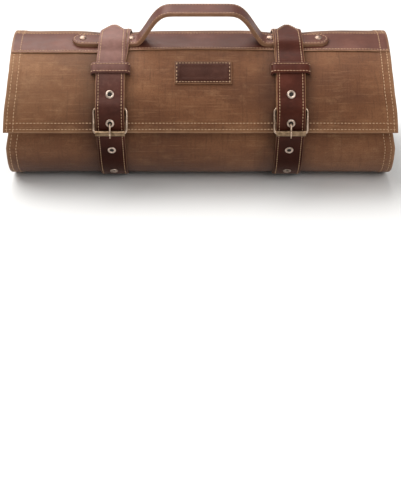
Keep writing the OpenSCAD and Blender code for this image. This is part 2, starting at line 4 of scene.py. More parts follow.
import bpy
import numpy as np
from mathutils import Vector, noise
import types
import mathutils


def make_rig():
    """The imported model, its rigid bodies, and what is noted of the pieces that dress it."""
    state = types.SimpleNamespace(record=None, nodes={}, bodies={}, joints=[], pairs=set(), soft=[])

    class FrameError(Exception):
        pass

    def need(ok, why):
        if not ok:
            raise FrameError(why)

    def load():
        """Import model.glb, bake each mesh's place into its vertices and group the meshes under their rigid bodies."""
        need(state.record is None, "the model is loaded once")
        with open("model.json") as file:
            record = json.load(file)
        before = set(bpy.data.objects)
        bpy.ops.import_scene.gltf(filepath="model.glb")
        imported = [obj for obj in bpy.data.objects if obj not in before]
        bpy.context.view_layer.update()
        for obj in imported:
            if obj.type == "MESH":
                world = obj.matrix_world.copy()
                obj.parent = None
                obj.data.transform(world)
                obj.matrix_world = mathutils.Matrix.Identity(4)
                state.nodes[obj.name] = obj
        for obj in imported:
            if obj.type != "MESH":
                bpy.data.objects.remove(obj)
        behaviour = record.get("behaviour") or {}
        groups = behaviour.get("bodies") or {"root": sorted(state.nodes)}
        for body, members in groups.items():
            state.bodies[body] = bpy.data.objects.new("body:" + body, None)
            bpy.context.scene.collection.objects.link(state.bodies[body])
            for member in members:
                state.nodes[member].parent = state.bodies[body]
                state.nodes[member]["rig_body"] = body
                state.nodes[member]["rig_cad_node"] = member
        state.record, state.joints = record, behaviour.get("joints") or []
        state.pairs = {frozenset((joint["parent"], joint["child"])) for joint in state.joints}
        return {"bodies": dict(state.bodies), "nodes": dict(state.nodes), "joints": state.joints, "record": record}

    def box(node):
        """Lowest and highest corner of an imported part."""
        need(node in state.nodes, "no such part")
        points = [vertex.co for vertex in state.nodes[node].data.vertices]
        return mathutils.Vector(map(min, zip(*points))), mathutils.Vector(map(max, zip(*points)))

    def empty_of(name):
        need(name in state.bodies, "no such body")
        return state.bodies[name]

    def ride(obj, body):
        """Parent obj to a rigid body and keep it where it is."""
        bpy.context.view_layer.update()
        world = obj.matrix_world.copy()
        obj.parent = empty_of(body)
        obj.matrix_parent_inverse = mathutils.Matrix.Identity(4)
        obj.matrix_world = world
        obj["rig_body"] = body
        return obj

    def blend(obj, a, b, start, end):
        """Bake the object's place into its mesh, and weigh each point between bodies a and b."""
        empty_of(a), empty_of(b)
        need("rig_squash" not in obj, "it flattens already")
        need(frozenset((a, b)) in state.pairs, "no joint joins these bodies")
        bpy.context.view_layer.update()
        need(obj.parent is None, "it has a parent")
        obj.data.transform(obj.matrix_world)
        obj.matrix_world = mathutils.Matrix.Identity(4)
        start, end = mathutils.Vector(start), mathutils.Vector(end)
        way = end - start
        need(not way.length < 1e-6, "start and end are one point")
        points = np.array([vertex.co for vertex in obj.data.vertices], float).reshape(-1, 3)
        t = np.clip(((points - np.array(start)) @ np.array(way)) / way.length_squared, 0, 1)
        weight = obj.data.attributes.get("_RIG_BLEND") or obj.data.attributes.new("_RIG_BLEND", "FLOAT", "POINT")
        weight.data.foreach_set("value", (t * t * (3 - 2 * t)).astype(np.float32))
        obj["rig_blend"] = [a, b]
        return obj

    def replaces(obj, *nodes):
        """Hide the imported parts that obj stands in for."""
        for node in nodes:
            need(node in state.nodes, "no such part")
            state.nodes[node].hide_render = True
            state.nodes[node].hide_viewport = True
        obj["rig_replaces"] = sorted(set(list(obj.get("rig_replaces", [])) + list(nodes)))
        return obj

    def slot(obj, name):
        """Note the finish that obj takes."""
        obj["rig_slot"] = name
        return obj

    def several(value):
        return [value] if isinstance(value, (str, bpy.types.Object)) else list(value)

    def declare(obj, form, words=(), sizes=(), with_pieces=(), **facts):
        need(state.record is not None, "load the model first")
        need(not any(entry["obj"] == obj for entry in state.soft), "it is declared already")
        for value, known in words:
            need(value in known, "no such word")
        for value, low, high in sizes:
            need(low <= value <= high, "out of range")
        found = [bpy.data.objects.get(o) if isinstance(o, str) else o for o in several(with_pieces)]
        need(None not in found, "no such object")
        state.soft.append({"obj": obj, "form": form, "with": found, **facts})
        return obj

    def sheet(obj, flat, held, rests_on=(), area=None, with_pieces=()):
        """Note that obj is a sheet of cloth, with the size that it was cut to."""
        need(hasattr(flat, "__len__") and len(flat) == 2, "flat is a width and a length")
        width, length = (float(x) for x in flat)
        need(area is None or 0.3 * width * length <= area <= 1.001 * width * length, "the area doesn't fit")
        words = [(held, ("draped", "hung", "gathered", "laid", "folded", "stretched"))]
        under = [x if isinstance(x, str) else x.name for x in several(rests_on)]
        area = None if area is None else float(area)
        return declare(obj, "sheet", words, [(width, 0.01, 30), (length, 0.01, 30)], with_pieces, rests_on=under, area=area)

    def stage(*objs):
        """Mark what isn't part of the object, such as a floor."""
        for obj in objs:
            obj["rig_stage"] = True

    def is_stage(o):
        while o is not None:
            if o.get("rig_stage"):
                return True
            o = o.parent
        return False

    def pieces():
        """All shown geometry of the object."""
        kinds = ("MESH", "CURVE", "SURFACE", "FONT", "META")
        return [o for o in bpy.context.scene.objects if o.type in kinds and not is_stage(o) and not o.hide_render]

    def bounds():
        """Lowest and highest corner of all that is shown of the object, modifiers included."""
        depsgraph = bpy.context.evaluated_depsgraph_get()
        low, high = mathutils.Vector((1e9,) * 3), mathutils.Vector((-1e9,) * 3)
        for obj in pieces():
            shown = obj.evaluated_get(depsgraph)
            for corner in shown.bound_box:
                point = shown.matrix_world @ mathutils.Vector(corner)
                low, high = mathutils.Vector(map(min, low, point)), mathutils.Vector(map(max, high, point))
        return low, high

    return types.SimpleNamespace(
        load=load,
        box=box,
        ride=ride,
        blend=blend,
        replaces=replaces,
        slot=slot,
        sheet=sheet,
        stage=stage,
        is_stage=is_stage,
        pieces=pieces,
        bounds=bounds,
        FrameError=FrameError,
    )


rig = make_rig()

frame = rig.load()
cad_lo, cad_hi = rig.bounds()

# Studio: the closed roll is seen from the front and above, high in an upright picture. It lies on
# plain pale paper, under a large soft lamp behind it on the left and a weaker one in front.
FOCAL, PICTURE_H, HEM_UP = 1112, 478, 105.5  # pixels of the picture
DISTANCE, LOOK_DOWN, AIM = 1.25, math.radians(27.5), Vector((0, 0, 0.1))
scene = bpy.context.scene


def piece(name, data):
    o = bpy.data.objects.new(name, data)
    scene.collection.objects.link(o)
    return o


def lamp(name, stand, size, power):
    light = bpy.data.lights.new(name, "AREA")
    light.shape = "RECTANGLE"
    light.size, light.size_y = size
    light.energy = power
    o = piece(name, light)
    o.location = stand
    o.rotation_euler = (AIM - Vector(stand)).to_track_quat("-Z", "Y").to_euler()


hem_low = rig.box("flap_panel_1")[0]
cam = piece("camera", bpy.data.cameras.new("camera"))
cam.data.lens = 36 * FOCAL / PICTURE_H
cam.location = Vector((0, hem_low.y, hem_low.z))
cam.location += DISTANCE * Vector((0, -math.cos(LOOK_DOWN), math.sin(LOOK_DOWN)))
cam.rotation_euler = (math.pi / 2 - LOOK_DOWN - math.atan(HEM_UP / FOCAL), 0, 0)
scene.camera = cam
scene.view_settings.view_transform = "Standard"
lamp("top", (-0.55, 0.4, 1.45), (2.2, 1.5), 48)
lamp("fill", (0.9, -1.1, 1.2), (0.9, 0.9), 11)
scene.world = bpy.data.worlds.new("studio")
scene.world.use_nodes = True
sky = scene.world.node_tree.nodes["Background"]
sky.inputs["Color"].default_value = (1, 1, 1, 1)
sky.inputs["Strength"].default_value = 0.38


def linear(code):
    """An sRGB colour written as hex, as linear red, green, blue and alpha."""
    v = [int(code[i : i + 2], 16) / 255 for i in (1, 3, 5)]
    return [c / 12.92 if c <= 0.04045 else ((c + 0.055) / 1.055) ** 2.4 for c in v] + [1.0]


def dress(tree, n, sockets):
    """Gives a node's sockets a link, a list of links, a colour written as hex, or a plain value."""
    for key, given in sockets.items():
        for value in given if isinstance(given, list) else [given]:
            if isinstance(value, bpy.types.NodeSocket):
                tree.links.new(value, n.inputs[key])
            elif isinstance(value, str) and value.startswith("#"):
                n.inputs[key].default_value = linear(value)
            else:
                n.inputs[key].default_value = value
    return n


def finish(name, sockets):
    """A new material, with its tree and its shader."""
    m = bpy.data.materials.new(name)
    m.use_nodes = True
    return m, m.node_tree, dress(m.node_tree, m.node_tree.nodes["Principled BSDF"], sockets)


PAPER = 6.0
ground_mesh = bpy.data.meshes.new("ground")
corners = [(-PAPER, -PAPER, 0), (PAPER, -PAPER, 0), (PAPER, PAPER, 0), (-PAPER, PAPER, 0)]
ground_mesh.from_pydata(corners, [], [(0, 1, 2, 3)])
paper = finish("studio_paper", {"Base Color": "#e2e1df", "Roughness": 0.9, "Specular IOR Level": 0.1})[0]
ground_mesh.materials.append(paper)
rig.stage(piece("ground", ground_mesh))

# Waxed canvas of the rolled sheet: brown cotton duck, rubbed paler on bends and hems and scratched
# along its threads. Beside the straps a painted shadow darkens it, with some of their dye rubbed in;
# it has painted shade near the ground and painted light in patches on the upper left.
# Pattern sizes are in millimetres; the weave is drawn coarser than real duck, so that it shows.
MATH, MIX, RAMP, NOISE = (f"ShaderNode{k}" for k in ("Math", "Mix", "ValToRGB", "TexNoise"))
WAVE_MM = 314.16  # from wave to wave of a wave texture of scale 1
canvas, tree, shader = finish("waxed_canvas", {"Specular IOR Level": 0.16, "Sheen Weight": 0.12})


def add(tree, kind, sockets={}, stops=(), out=0, **settings):
    """Adds a node with its settings, its ramp's stops and its sockets, and gives back its output."""
    n = tree.nodes.new(kind)
    for key, value in settings.items():
        setattr(n, key, value)
    if stops:
        e = n.color_ramp.elements
        while len(e) < len(stops):
            e.new(0.5)
        for item, (at, shade) in zip(e, stops):
            item.position = at
            item.color = linear(shade) if isinstance(shade, str) else (shade, shade, shade, 1)
    dress(tree, n, sockets)
    return n.outputs if out is None else n.outputs[out]


coord = add(tree, "ShaderNodeTexCoord", out=None)


def lay_over(tree, tone, colour, *veils):
    """Lays a colour over a tone, as strong as the product of its veils. A veil is a number, a socket,
    or a socket and the stops of a ramp on it."""
    strength = 1.0
    for veil in veils:
        if isinstance(veil, tuple):
            veil = add(tree, RAMP, {"Fac": veil[0]}, veil[1])
        strength = add(tree, MATH, {0: strength, 1: veil}, operation="MULTIPLY")
    return add(tree, MIX, {0: strength, 6: tone, 7: colour}, out=2, data_type="RGBA")


def streaks(source, sizes, detail, rough):
    """Noise with features of the sizes given along each axis."""
    wide = add(tree, "ShaderNodeMapping", {"Vector": coord[source], "Scale": tuple(1000 / v for v in sizes)})
    grain = {"Vector": wide, "Scale": 1.0, "Detail": detail, "Roughness": rough}
    return add(tree, NOISE, grain)


def weave(tree, uv, spacing, stray, detail):
    """Height of crossing threads, from two wave textures at right angles."""
    threads = {"Vector": uv, "Scale": WAVE_MM / spacing, "Distortion": stray, "Detail": detail}
    ways = (add(tree, "ShaderNodeTexWave", threads, out="Fac", bands_direction=way) for way in "XY")
    return add(tree, MATH, dict(enumerate(ways)), operation="MULTIPLY")


cloud = streaks("Object", (125, 66.67, 66.67), 6.0, 0.62)
scuff = streaks("Object", (20.83, 12.5, 12.5), 7.0, 0.72)
fleck = streaks("Object", (1.25, 1.25, 1.25), 2.0, 0.5)
along_thread = streaks("UV", (45.45, 1.923, 1000), 3.0, 0.6)
across_thread = streaks("UV", (2.381, 38.46, 1000), 3.0, 0.6)
browns = [(0.3, "#54321e"), (0.5, "#6a4228"), (0.7, "#83583a")]
tone = add(tree, RAMP, {"Fac": cloud}, browns)
tone = lay_over(tree, tone, "#9a7250", (scuff, [(0.52, 0), (0.74, 0.42)]))
tone = lay_over(tree, tone, "#a37a58", (along_thread, [(0.56, 0), (0.72, 0.34)]))
tone = lay_over(tree, tone, "#4a2b19", (across_thread, [(0.3, 0.4), (0.46, 0)]))
tone = lay_over(tree, tone, "#4b2d1b", (fleck, [(0.35, 0.35), (0.55, 0)]))

# the straps' painted shadow, with some of their dye rubbed in, in metres: a little to the left of each
# strap, on its shadow side, on the outer face under strap or tail
SHADOW_AND_STAIN_X, SHADOW_AND_STAIN_LEFT, SHADOW_AND_STAIN_REACH = 0.1005, 0.004, 0.05
flat = add(tree, "ShaderNodeSeparateXYZ", {"Vector": coord["UV"]}, out=None)
side = add(tree, MATH, {0: flat["X"]}, operation="SIGN")
beside = add(tree, MATH, {0: side, 1: -SHADOW_AND_STAIN_X, 2: flat["X"]}, operation="MULTIPLY_ADD")
shares = {0: beside, 1: 1 / SHADOW_AND_STAIN_REACH, 2: SHADOW_AND_STAIN_LEFT / SHADOW_AND_STAIN_REACH}
beside = add(tree, MATH, shares, operation="MULTIPLY_ADD")
beside = add(tree, MATH, {0: beside}, operation="ABSOLUTE")
patchy = add(tree, MATH, {0: scuff, 1: 0.1})
strapped = [(0.165, 1), (0.19, 0), (0.42, 0), (0.44, 1), (0.5, 1), (0.53, 0)]
inner = add(tree, "ShaderNodeAttribute", out="Fac", attribute_name="inner")
outer_face = (inner, [(0, 1), (1, 0)])
strap_shadow_and_stain = (beside, [(0.34, 1), (0.74, 0)])
# painted shadow beside each strap, stronger on its left, with some of the strap's dye
tone = lay_over(tree, tone, "#331b10", strap_shadow_and_stain, patchy, (flat["Y"], strapped), outer_face)

# painted shade near the ground, stronger on the left; painted light in patches on the upper left;
# and rubbed edges
spot_xyz = add(tree, "ShaderNodeSeparateXYZ", {"Vector": coord["Object"]}, out=None)
to_right = add(tree, MATH, {0: spot_xyz["X"], 1: 0.5})
low, high = [(0.03, 1), (0.1, 0)], [(0.08, 0), (0.11, 1)]
# painted shade: darker towards the ground, most on the left
tone = lay_over(tree, tone, "#3f2416", (spot_xyz["Z"], low), (to_right, [(0.3, 0.5), (0.7, 0.05)]))
# painted light: paler in patches on the upper left, where the top lamp shines
tone = lay_over(tree, tone, "#b08a68", (to_right, [(0.3, 0.34), (0.45, 0)]), (spot_xyz["Z"], high), scuff)
rub = add(tree, "ShaderNodeAttribute", out="Fac", attribute_name="wear")
tone = lay_over(tree, tone, "#a58160", rub, scuff, 0.9)
dull = add(tree, RAMP, {"Fac": cloud}, [(0.3, 0.55), (0.7, 0.75)])
rough = add(tree, MATH, {0: scuff, 1: along_thread})
cloth = weave(tree, coord["UV"], 0.8055, 1.2, 1.0)
cloth = add(tree, MATH, {0: rough, 1: 0.9, 2: cloth}, operation="MULTIPLY_ADD")
bump = add(tree, "ShaderNodeBump", {"Strength": 0.4, "Distance": 0.0004, "Height": cloth})
dress(tree, shader, {"Base Color": tone, "Roughness": dull, "Normal": bump})

# Rolled sheet: one length of canvas, hemmed on all four sides, wound from the flap's hem over the top,
# back, base and front to its inner end. It is made in stretches that bend where the panels of the
# construction do. Radii and lengths are in millimetres, bends in degrees.
TOP, BACK, FRONT, INNER, LAP = 89.0, 63.0, 55.0, 67.0, 10.0
BENDS = np.array([9, 40, 67, 103, 141, 180, 225, 270, 270, 320, 360, 412, 464, 516], float)
PANELS = "flap_1 flap_2 flap_3 back_1 back_2 back_3 back_4 base front_1 front_2 lap_1 end_1 end_2".split()
BASE, LAST = PANELS.index("base"), len(PANELS) - 1
front_y = -(TOP - LAP - FRONT)
CENTRE_Y = np.array([0] * 5 + [TOP - BACK] * 2 + [0] + [front_y] * 2 + [front_y - FRONT + INNER] * 3, float)
CENTRE_Z = np.array([BACK] * 7 + [0] + [FRONT] * 5, float)
RADIUS = np.array([TOP] * 5 + [BACK] * 2 + [0] + [FRONT] * 2 + [INNER] * 3, float)
LENGTH = RADIUS * np.radians(np.diff(BENDS))
LENGTH[BASE] = TOP - BACK - front_y
START = np.concatenate([[0], np.cumsum(LENGTH)])
back_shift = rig.box("body_panel_2")[1].y * 1000 - TOP
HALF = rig.box("body_panel_5")[1].x * 1000
TAIL_HALF = 15.8
STRAP_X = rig.box("billet")[1].x * 1000 - TAIL_HALF


def on_sheet(u):
    """Points, outward normals and lengths along the sheet at places u: panel number and share of it."""
    u = np.atleast_1d(np.asarray(u, float))
    k = np.clip(np.floor(u).astype(int), 0, LAST)
    f = u - k
    a = np.radians(BENDS[k] + (BENDS[k + 1] - BENDS[k]) * f)
    n = np.stack([-np.cos(a), np.sin(a)], 1)
    p = np.stack([CENTRE_Y[k], CENTRE_Z[k]], 1) + RADIUS[k][:, None] * n
    base = k == BASE
    p[base] = np.stack([TOP - BACK + (front_y - TOP + BACK) * f[base], np.zeros(base.sum())], 1)
    p[:, 0] += back_shift
    return p, n, START[k] + LENGTH[k] * f


def at_length(s):
    """Points and normals at lengths s along the sheet."""
    k = np.clip(np.searchsorted(START, s, side="right") - 1, 0, LAST)
    return on_sheet(k + (s - START[k]) / LENGTH[k])[:2]


def place(k, angle):
    return k + (angle - BENDS[k]) / (BENDS[k + 1] - BENDS[k])


def length_at(k, angle):
    return on_sheet(place(k, angle))[2][0]


def bell(d, w):
    return np.exp(-((d / w) ** 2))


def edge_of(d, w):
    """1 before an edge and 0 past it, with a soft step of width w."""
    return 1 / (1 + np.exp(d / w))


def ease(s, s0, s1):
    t = np.clip((np.asarray(s) - s0) / (s1 - s0), 0, 1)
    return t * t * (3 - 2 * t)


def swell(s, x):
    """How far the stuffed canvas stands out of its mean shape; the straps and the ground hold it in."""
    s, x = np.broadcast_arrays(np.asarray(s, float), np.asarray(x, float))
    off_base = np.maximum(np.maximum(START[BASE] - s, s - START[BASE + 1]), 0)
    free = (1 - bell(np.abs(x) - STRAP_X, 30)) * (1 - bell(off_base, 35))
    waves = np.zeros(s.shape)
    for i in np.ndindex(s.shape):
        broad = noise.noise(Vector((x[i] / 85, s[i] / 62, 0.3)))
        waves[i] = 0.75 * broad + 0.28 * noise.noise(Vector((x[i] / 26, s[i] / 30, 4.2)))
    return free * (waves + 0.8 + 2.2 * bell(s - START[3] - 16, 32))


# how far the roll's ends are drawn in, by panel and angle: most where the sheet is wound tightest
DRAWN = ((0, 9, 1.2), (0, 24, 3.4), (0, 38, 6.4), (1, 55, 8.2), (2, 72, 8.2), (2, 98, 7.0), (3, 121, 6.0),
         (4, 175, 5.0), (6, 265, 2.5), (8, 318, 0.2), (9, 358, 1.2), (10, 375, 5.5), (10, 400, 8.5),
         (12, 500, 9.0))
DRAWN_S = [length_at(k, a) for k, a, inset in DRAWN]
DRAWN_X = [inset for k, a, inset in DRAWN]


def draw_in(s, x):
    return x - np.sign(x) * np.interp(s, DRAWN_S, DRAWN_X) * ease(np.abs(x), 125, HALF)


def fine(lo, hi, step, r, round_lo=True, round_hi=True):
    """Even places from lo to hi, with a few more near an edge that is rounded with radius r."""
    extra = np.array([0.15, 0.45, 1.0]) * r
    v = list(np.linspace(lo, hi, max(2, int(round((hi - lo) / step))) + 1))
    v += list(lo + extra) if round_lo else []
    v += list(hi - extra) if round_hi else []
    return np.unique(np.round(v, 4))


def shell(name, outer, inner, mat):
    """A closed sheet between two grids of places."""
    N, M = outer.shape[:2]
    i = np.arange(N * M).reshape(N, M)
    j = i + N * M
    faces = ((i[:-1, :-1], i[:-1, 1:], i[1:, 1:], i[1:, :-1]),
             (j[:-1, :-1], j[1:, :-1], j[1:, 1:], j[:-1, 1:]),
             (i[:-1, 0], i[1:, 0], j[1:, 0], j[:-1, 0]), (i[:-1, -1], j[:-1, -1], j[1:, -1], i[1:, -1]),
             (i[0, :-1], j[0, :-1], j[0, 1:], i[0, 1:]), (i[-1, :-1], i[-1, 1:], j[-1, 1:], j[-1, :-1]))
    verts = np.concatenate([outer.reshape(-1, 3), inner.reshape(-1, 3)]) / 1000
    faces = np.concatenate([np.stack(f, -1).reshape(-1, 4) for f in faces])
    mesh = bpy.data.meshes.new(name)
    mesh.from_pydata(verts.tolist(), [], faces.tolist())
    mesh.shade_smooth()
    mesh.materials.append(mat)
    return piece(name, mesh)


def slab(name, p, n, s, x, outer, inner, mat, r, round_s=(True, True), wear_w=3.0, warp=None):
    """A sheet over places p with normals n, at lengths s and across x. Outer and inner are heights, even
    or over (s, x). Real edges are rounded by r, and warp moves the places across, for a shaped end."""
    S, X = np.meshgrid(s, x, indexing="ij")
    d = np.minimum(X - x[0], x[-1] - X)
    d = np.minimum(d, S - s[0]) if round_s[0] else d
    d = np.minimum(d, s[-1] - S) if round_s[1] else d
    drop = r - np.sqrt(np.maximum(r * r - (r - np.minimum(d, r)) ** 2, 0))
    across = X if warp is None else warp(S, X)
    grids = []
    for face, way in ((outer, -1), (inner, 1)):
        h = (face(S, X) if callable(face) else face) + way * drop
        q = p[:, None, :] + h[..., None] * n[:, None, :]
        grids.append(np.stack([across, q[..., 0], q[..., 1]], -1))
    o = shell(name, *grids, mat)
    mesh = o.data
    uv = np.tile(np.stack([X.ravel(), S.ravel()], 1) / 1000, (2, 1)).astype(np.float32)
    corner = np.empty(len(mesh.loops), np.int32)
    mesh.loops.foreach_get("vertex_index", corner)
    mesh.uv_layers.new(name="UVMap").data.foreach_set("uv", uv[corner].ravel())
    worn = np.tile(np.exp(-np.maximum(d, 0) / wear_w).ravel(), 2)
    for key, values in (("wear", worn), ("inner", np.repeat((0, 1), S.size))):
        mesh.attributes.new(key, "FLOAT", "POINT").data.foreach_set("value", values.astype(np.float32))
    if not all(round_s):
        cut_end = np.zeros(len(s), int)
        cut_end[[0, -1]] = (not round_s[0]), 2 * (not round_s[1])
        cut_end = np.tile(np.repeat(cut_end, len(x)), 2)
        ends = np.empty(2 * len(mesh.edges), np.int32)
        mesh.edges.foreach_get("vertices", ends)
        a, b = cut_end[ends.reshape(-1, 2)].T
        mesh.attributes.new("sharp_edge", "BOOLEAN", "EDGE").data.foreach_set("value", (a > 0) & (a == b))
    return o


def follow(o, j, h=0.0):
    """The piece bends with panels j and j + 1, turning from the middle of one to the middle of the other.
    Next to the zips it turns in a shorter stretch, so that the sheet lies still under the sliders."""
    still = {1: 0.33, 10: 0.2}.get(j, 0.0)
    p, n, s = on_sheet([j + 0.5 + still, j + 1.5 - still])
    start, end = [(0, *q) for q in (p + h * n) / 1000]
    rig.blend(o, PANELS[j], PANELS[j + 1], start, end)
    return o


def stretches(u0, u1):
    """The sheet from u0 to u1 cut at the middles of its panels: which bend each stretch follows."""
    cuts = [u0] + [m + 0.5 for m in range(1, LAST) if u0 < m + 0.5 < u1] + [u1]
    return [(min(max(math.floor(a + 0.5 + 1e-6) - 1, 0), LAST - 1), a, b) for a, b in zip(cuts, cuts[1:])]


def layer(name, u0, u1, x0, x1, outer, inner, mat, r, h, step=2.2, xstep=5.0, xs=None, wear_w=3.0,
          warp=draw_in):
    """One layer of cloth or leather on the sheet: its stretches, with bend, ends and length of each."""
    made = []
    for part, (j, a, b) in enumerate(stretches(u0, u1)):
        sa, sb = on_sheet([a, b])[2]
        first, last = a == u0, b == u1
        s = fine(sa, sb, step, r, first, last)
        x = fine(x0, x1, xstep, r) if xs is None else xs
        p, n = at_length(s)
        o = slab(f"{name}_{part + 1:02d}", p, n, s, x, outer, inner, mat, r, (first, last), wear_w, warp)
        made.append((follow(o, j, h), j, a, b, sb - sa))
    return made


HEM, SEAMS = 14.0, (4.4, 11.4)


def canvas_out(s, x):
    end = np.minimum(HALF - np.abs(x), np.minimum(s, START[-1] - s))
    groove = sum(0.3 * bell(end - seam, 0.7) for seam in SEAMS)
    pucker = 0.16 * np.sin((s + x) * 0.9) * bell(end - 8, 6.0)
    return swell(s, x) + 0.45 * edge_of(end - HEM, 0.35) - groove + pucker


def canvas_in(s, x):
    doubled = (s < START[3]) | (s > START[11])
    return swell(s, x) - np.where(doubled, 3.5, 2.2) - 0.35 * edge_of(HALF - np.abs(x) - HEM, 0.35)


near_end = np.array([0, 0.15, 0.4, 0.9, 1.8, 2.8, 3.7, 4.4, 5.1, 6, 7.2, 8.6, 9.8, 10.7, 11.4, 12.1, 12.9,
                     13.5, 14, 14.6, 15.4])
middle = np.linspace(-HALF + 17, HALF - 17, 112)
canvas_x = np.unique(np.round(np.concatenate([middle, near_end - HALF, HALF - near_end]), 3))
sheet_faces = canvas_out, canvas_in
sheet_parts = layer("canvas_sheet", 0, 13, -HALF, HALF, *sheet_faces, canvas, 0.9, -1.2, 1.9, xs=canvas_x)
PANEL_NODES = [f"flap_panel_{i}" for i in (1, 2, 3)] + [f"body_panel_{i}" for i in range(1, 9)]
PANEL_NODES += ["end_panel_1", "end_panel_2"]
for o, j, a, b, length in sheet_parts:
    nodes = [PANEL_NODES[j]] + ([PANEL_NODES[LAST]] if j == LAST - 1 else [])
    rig.replaces(o, *nodes)
    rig.slot(o, "waxed_canvas")
    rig.sheet(o, flat=(2 * HALF / 1000, length / 1000), held="folded", rests_on=["body_panel_5"])

# Hem seams: two rows of light thread on both faces of the sheet, round all four edges. Rows of thread
# are gathered here and with the other pieces, and sewn in with one node tree at the end.
STITCH_STEP, SIDES = 1.2, (("l", -1), ("r", 1))
rows = {}


def sew(kind, key, points, rider):
    rows.setdefault((kind, key), (rider, []))[1].append(np.asarray(points) / 1000)


def sew_round(kind, u0, u1, x, height, warp=draw_in):
    """A row that runs round the roll at x."""
    for j, a, b in stretches(u0, u1):
        s = np.arange(*on_sheet([a, b])[2], STITCH_STEP)
        if len(s) > 2:
            xs = np.full(s.shape, x)
            p, n = at_length(s)
            q = p + height(s, xs)[:, None] * n
            sew(kind, ("bend", j), np.column_stack([warp(s, xs), q]), lambda o, j=j: follow(o, j))


def sew_along(kind, u, x0, x1, height, shift=None):
    """A row that runs along the roll at place u."""
    j = stretches(u - 1e-4, u + 1e-4)[0][0]
    x = np.arange(x0, x1, STITCH_STEP)
    p, n, s = on_sheet(u)
    s = np.full(x.shape, s[0])
    q = np.column_stack([draw_in(s, x), p + height(s, x)[:, None] * n])
    sew(kind, ("bend", j), q if shift is None else shift(q), lambda o, j=j: follow(o, j))


for face in (lambda s, x: canvas_out(s, x) + 0.16, lambda s, x: canvas_in(s, x) - 0.16):
    for inset in SEAMS:
        for tag, side in SIDES:
            sew_round("canvas", 0.06, 12.94, side * (HALF - inset), face)
        sew_along("canvas", inset / LENGTH[0], -HALF + 4, HALF - 4, face)
        sew_along("canvas", 13 - inset / LENGTH[LAST], -HALF + 4, HALF - 4, face)

# Oiled leather of straps, band, handle and label: dark oxblood brown with a fine grain, a dull bloom
# and paler cut edges. Shade is painted darker near the ground, and a highlight is painted over the
# top of the left strap.
# Its clouds, creases and grain are about 45, 6 and 0.9 mm wide.


def leather(name, dark, mid, bloom, edge, gloss, haze, painted_highlight):
    hazy = {"Sheen Weight": haze, "Sheen Roughness": 0.4, "Sheen Tint": "#e6b6a2"}
    m, tree, shader = finish(name, {"Specular Tint": "#ffd2c2", **hazy})
    at = add(tree, "ShaderNodeTexCoord", out="Object")
    clouds = {"Vector": at, "Scale": 1000 / 45.45, "Detail": 4.0, "Roughness": 0.6}
    creases = {"Vector": at, "Scale": 1000 / 6.25, "Detail": 4.0, "Roughness": 0.65}
    cloud, crease = (add(tree, NOISE, sizes) for sizes in (clouds, creases))
    grain = add(tree, "ShaderNodeTexVoronoi", {"Vector": at, "Scale": 1000 / 0.8696})
    rub = add(tree, "ShaderNodeAttribute", out="Fac", attribute_name="wear")
    xyz = add(tree, "ShaderNodeSeparateXYZ", {"Vector": at}, out=None)
    to_right = add(tree, MATH, {0: xyz["X"], 1: 0.5})
    raw, highlight_patches = (add(tree, MATH, {0: crease, 1: more}) for more in (0.15, 0.4))
    tone = add(tree, RAMP, {"Fac": cloud}, [(0.3, dark), (0.55, mid), (0.8, bloom)])
    tone = lay_over(tree, tone, bloom, (crease, [(0.5, 0), (0.75, 0.35)]))
    tone = lay_over(tree, tone, edge, (rub, [(0.55, 0), (0.9, 1)]), raw)
    # painted shade: darker near the ground, where the lower faces turn from the light
    tone = lay_over(tree, tone, "#1a0703", (xyz["Z"], [(0.05, 0.7), (0.12, 0)]))
    on_top, on_left = [(0.09, 0), (0.14, 0.35), (0.152, 1)], [(0.4, 1), (0.5, 0)]
    # painted highlight over the top of the left strap, in patches
    tone = lay_over(tree, tone, "#a8837a", (xyz["Z"], on_top), (to_right, on_left), highlight_patches, painted_highlight)
    dull = add(tree, RAMP, {"Fac": crease}, [(0.3, 0.34), (0.7, 0.52)])
    shine = add(tree, RAMP, {"Fac": xyz["Z"]}, [(0.05, 0.25 * gloss), (0.11, gloss)])
    skin = add(tree, MATH, {0: crease, 1: 1.2, 2: grain}, operation="MULTIPLY_ADD")
    bump = add(tree, "ShaderNodeBump", {"Strength": 0.3, "Distance": 0.00025, "Height": skin})
    dress(tree, shader, {"Base Color": tone, "Roughness": dull, "Specular IOR Level": shine, "Normal": bump})
    return m


# Top band: a strip of leather along the top of the roll, sewn down along both edges and at its ends.
# It was cut by eye, so its front edge hangs lower at the left end and is drawn up between the straps.
BAND_FROM, BAND_TO, BAND_H = 72, 98, 1.7
band_leather = leather("band_leather", "#3b1a12", "#522b20", "#6e4538", "#9a7556", 0.45, 0.05, 0.0)


def band_out(s, x):
    return swell(s, x) + BAND_H


def band_drift(a, x):
    """Degrees by which the band's places at angle a are off their straight line."""
    by_eye = np.interp(x, (-222, -118, -84, 0, 84, 118, 222), (-1.7, -1.5, 1.3, 1.7, 1.3, 0.4, -0.4))
    return by_eye * np.clip((BAND_TO - a) / (BAND_TO - BAND_FROM), 0, 1)


def drift(q):
    """Turns places of the band about the flap's axis by its drift."""
    dy, dz = q[:, 1] - CENTRE_Y[2] - back_shift, q[:, 2] - CENTRE_Z[2]
    a = np.degrees(np.arctan2(dz, -dy))
    r, a = np.hypot(dy, dz), np.radians(a + band_drift(a, q[:, 0]))
    return np.stack([q[:, 0], CENTRE_Y[2] + back_shift - r * np.cos(a), CENTRE_Z[2] + r * np.sin(a)], 1)


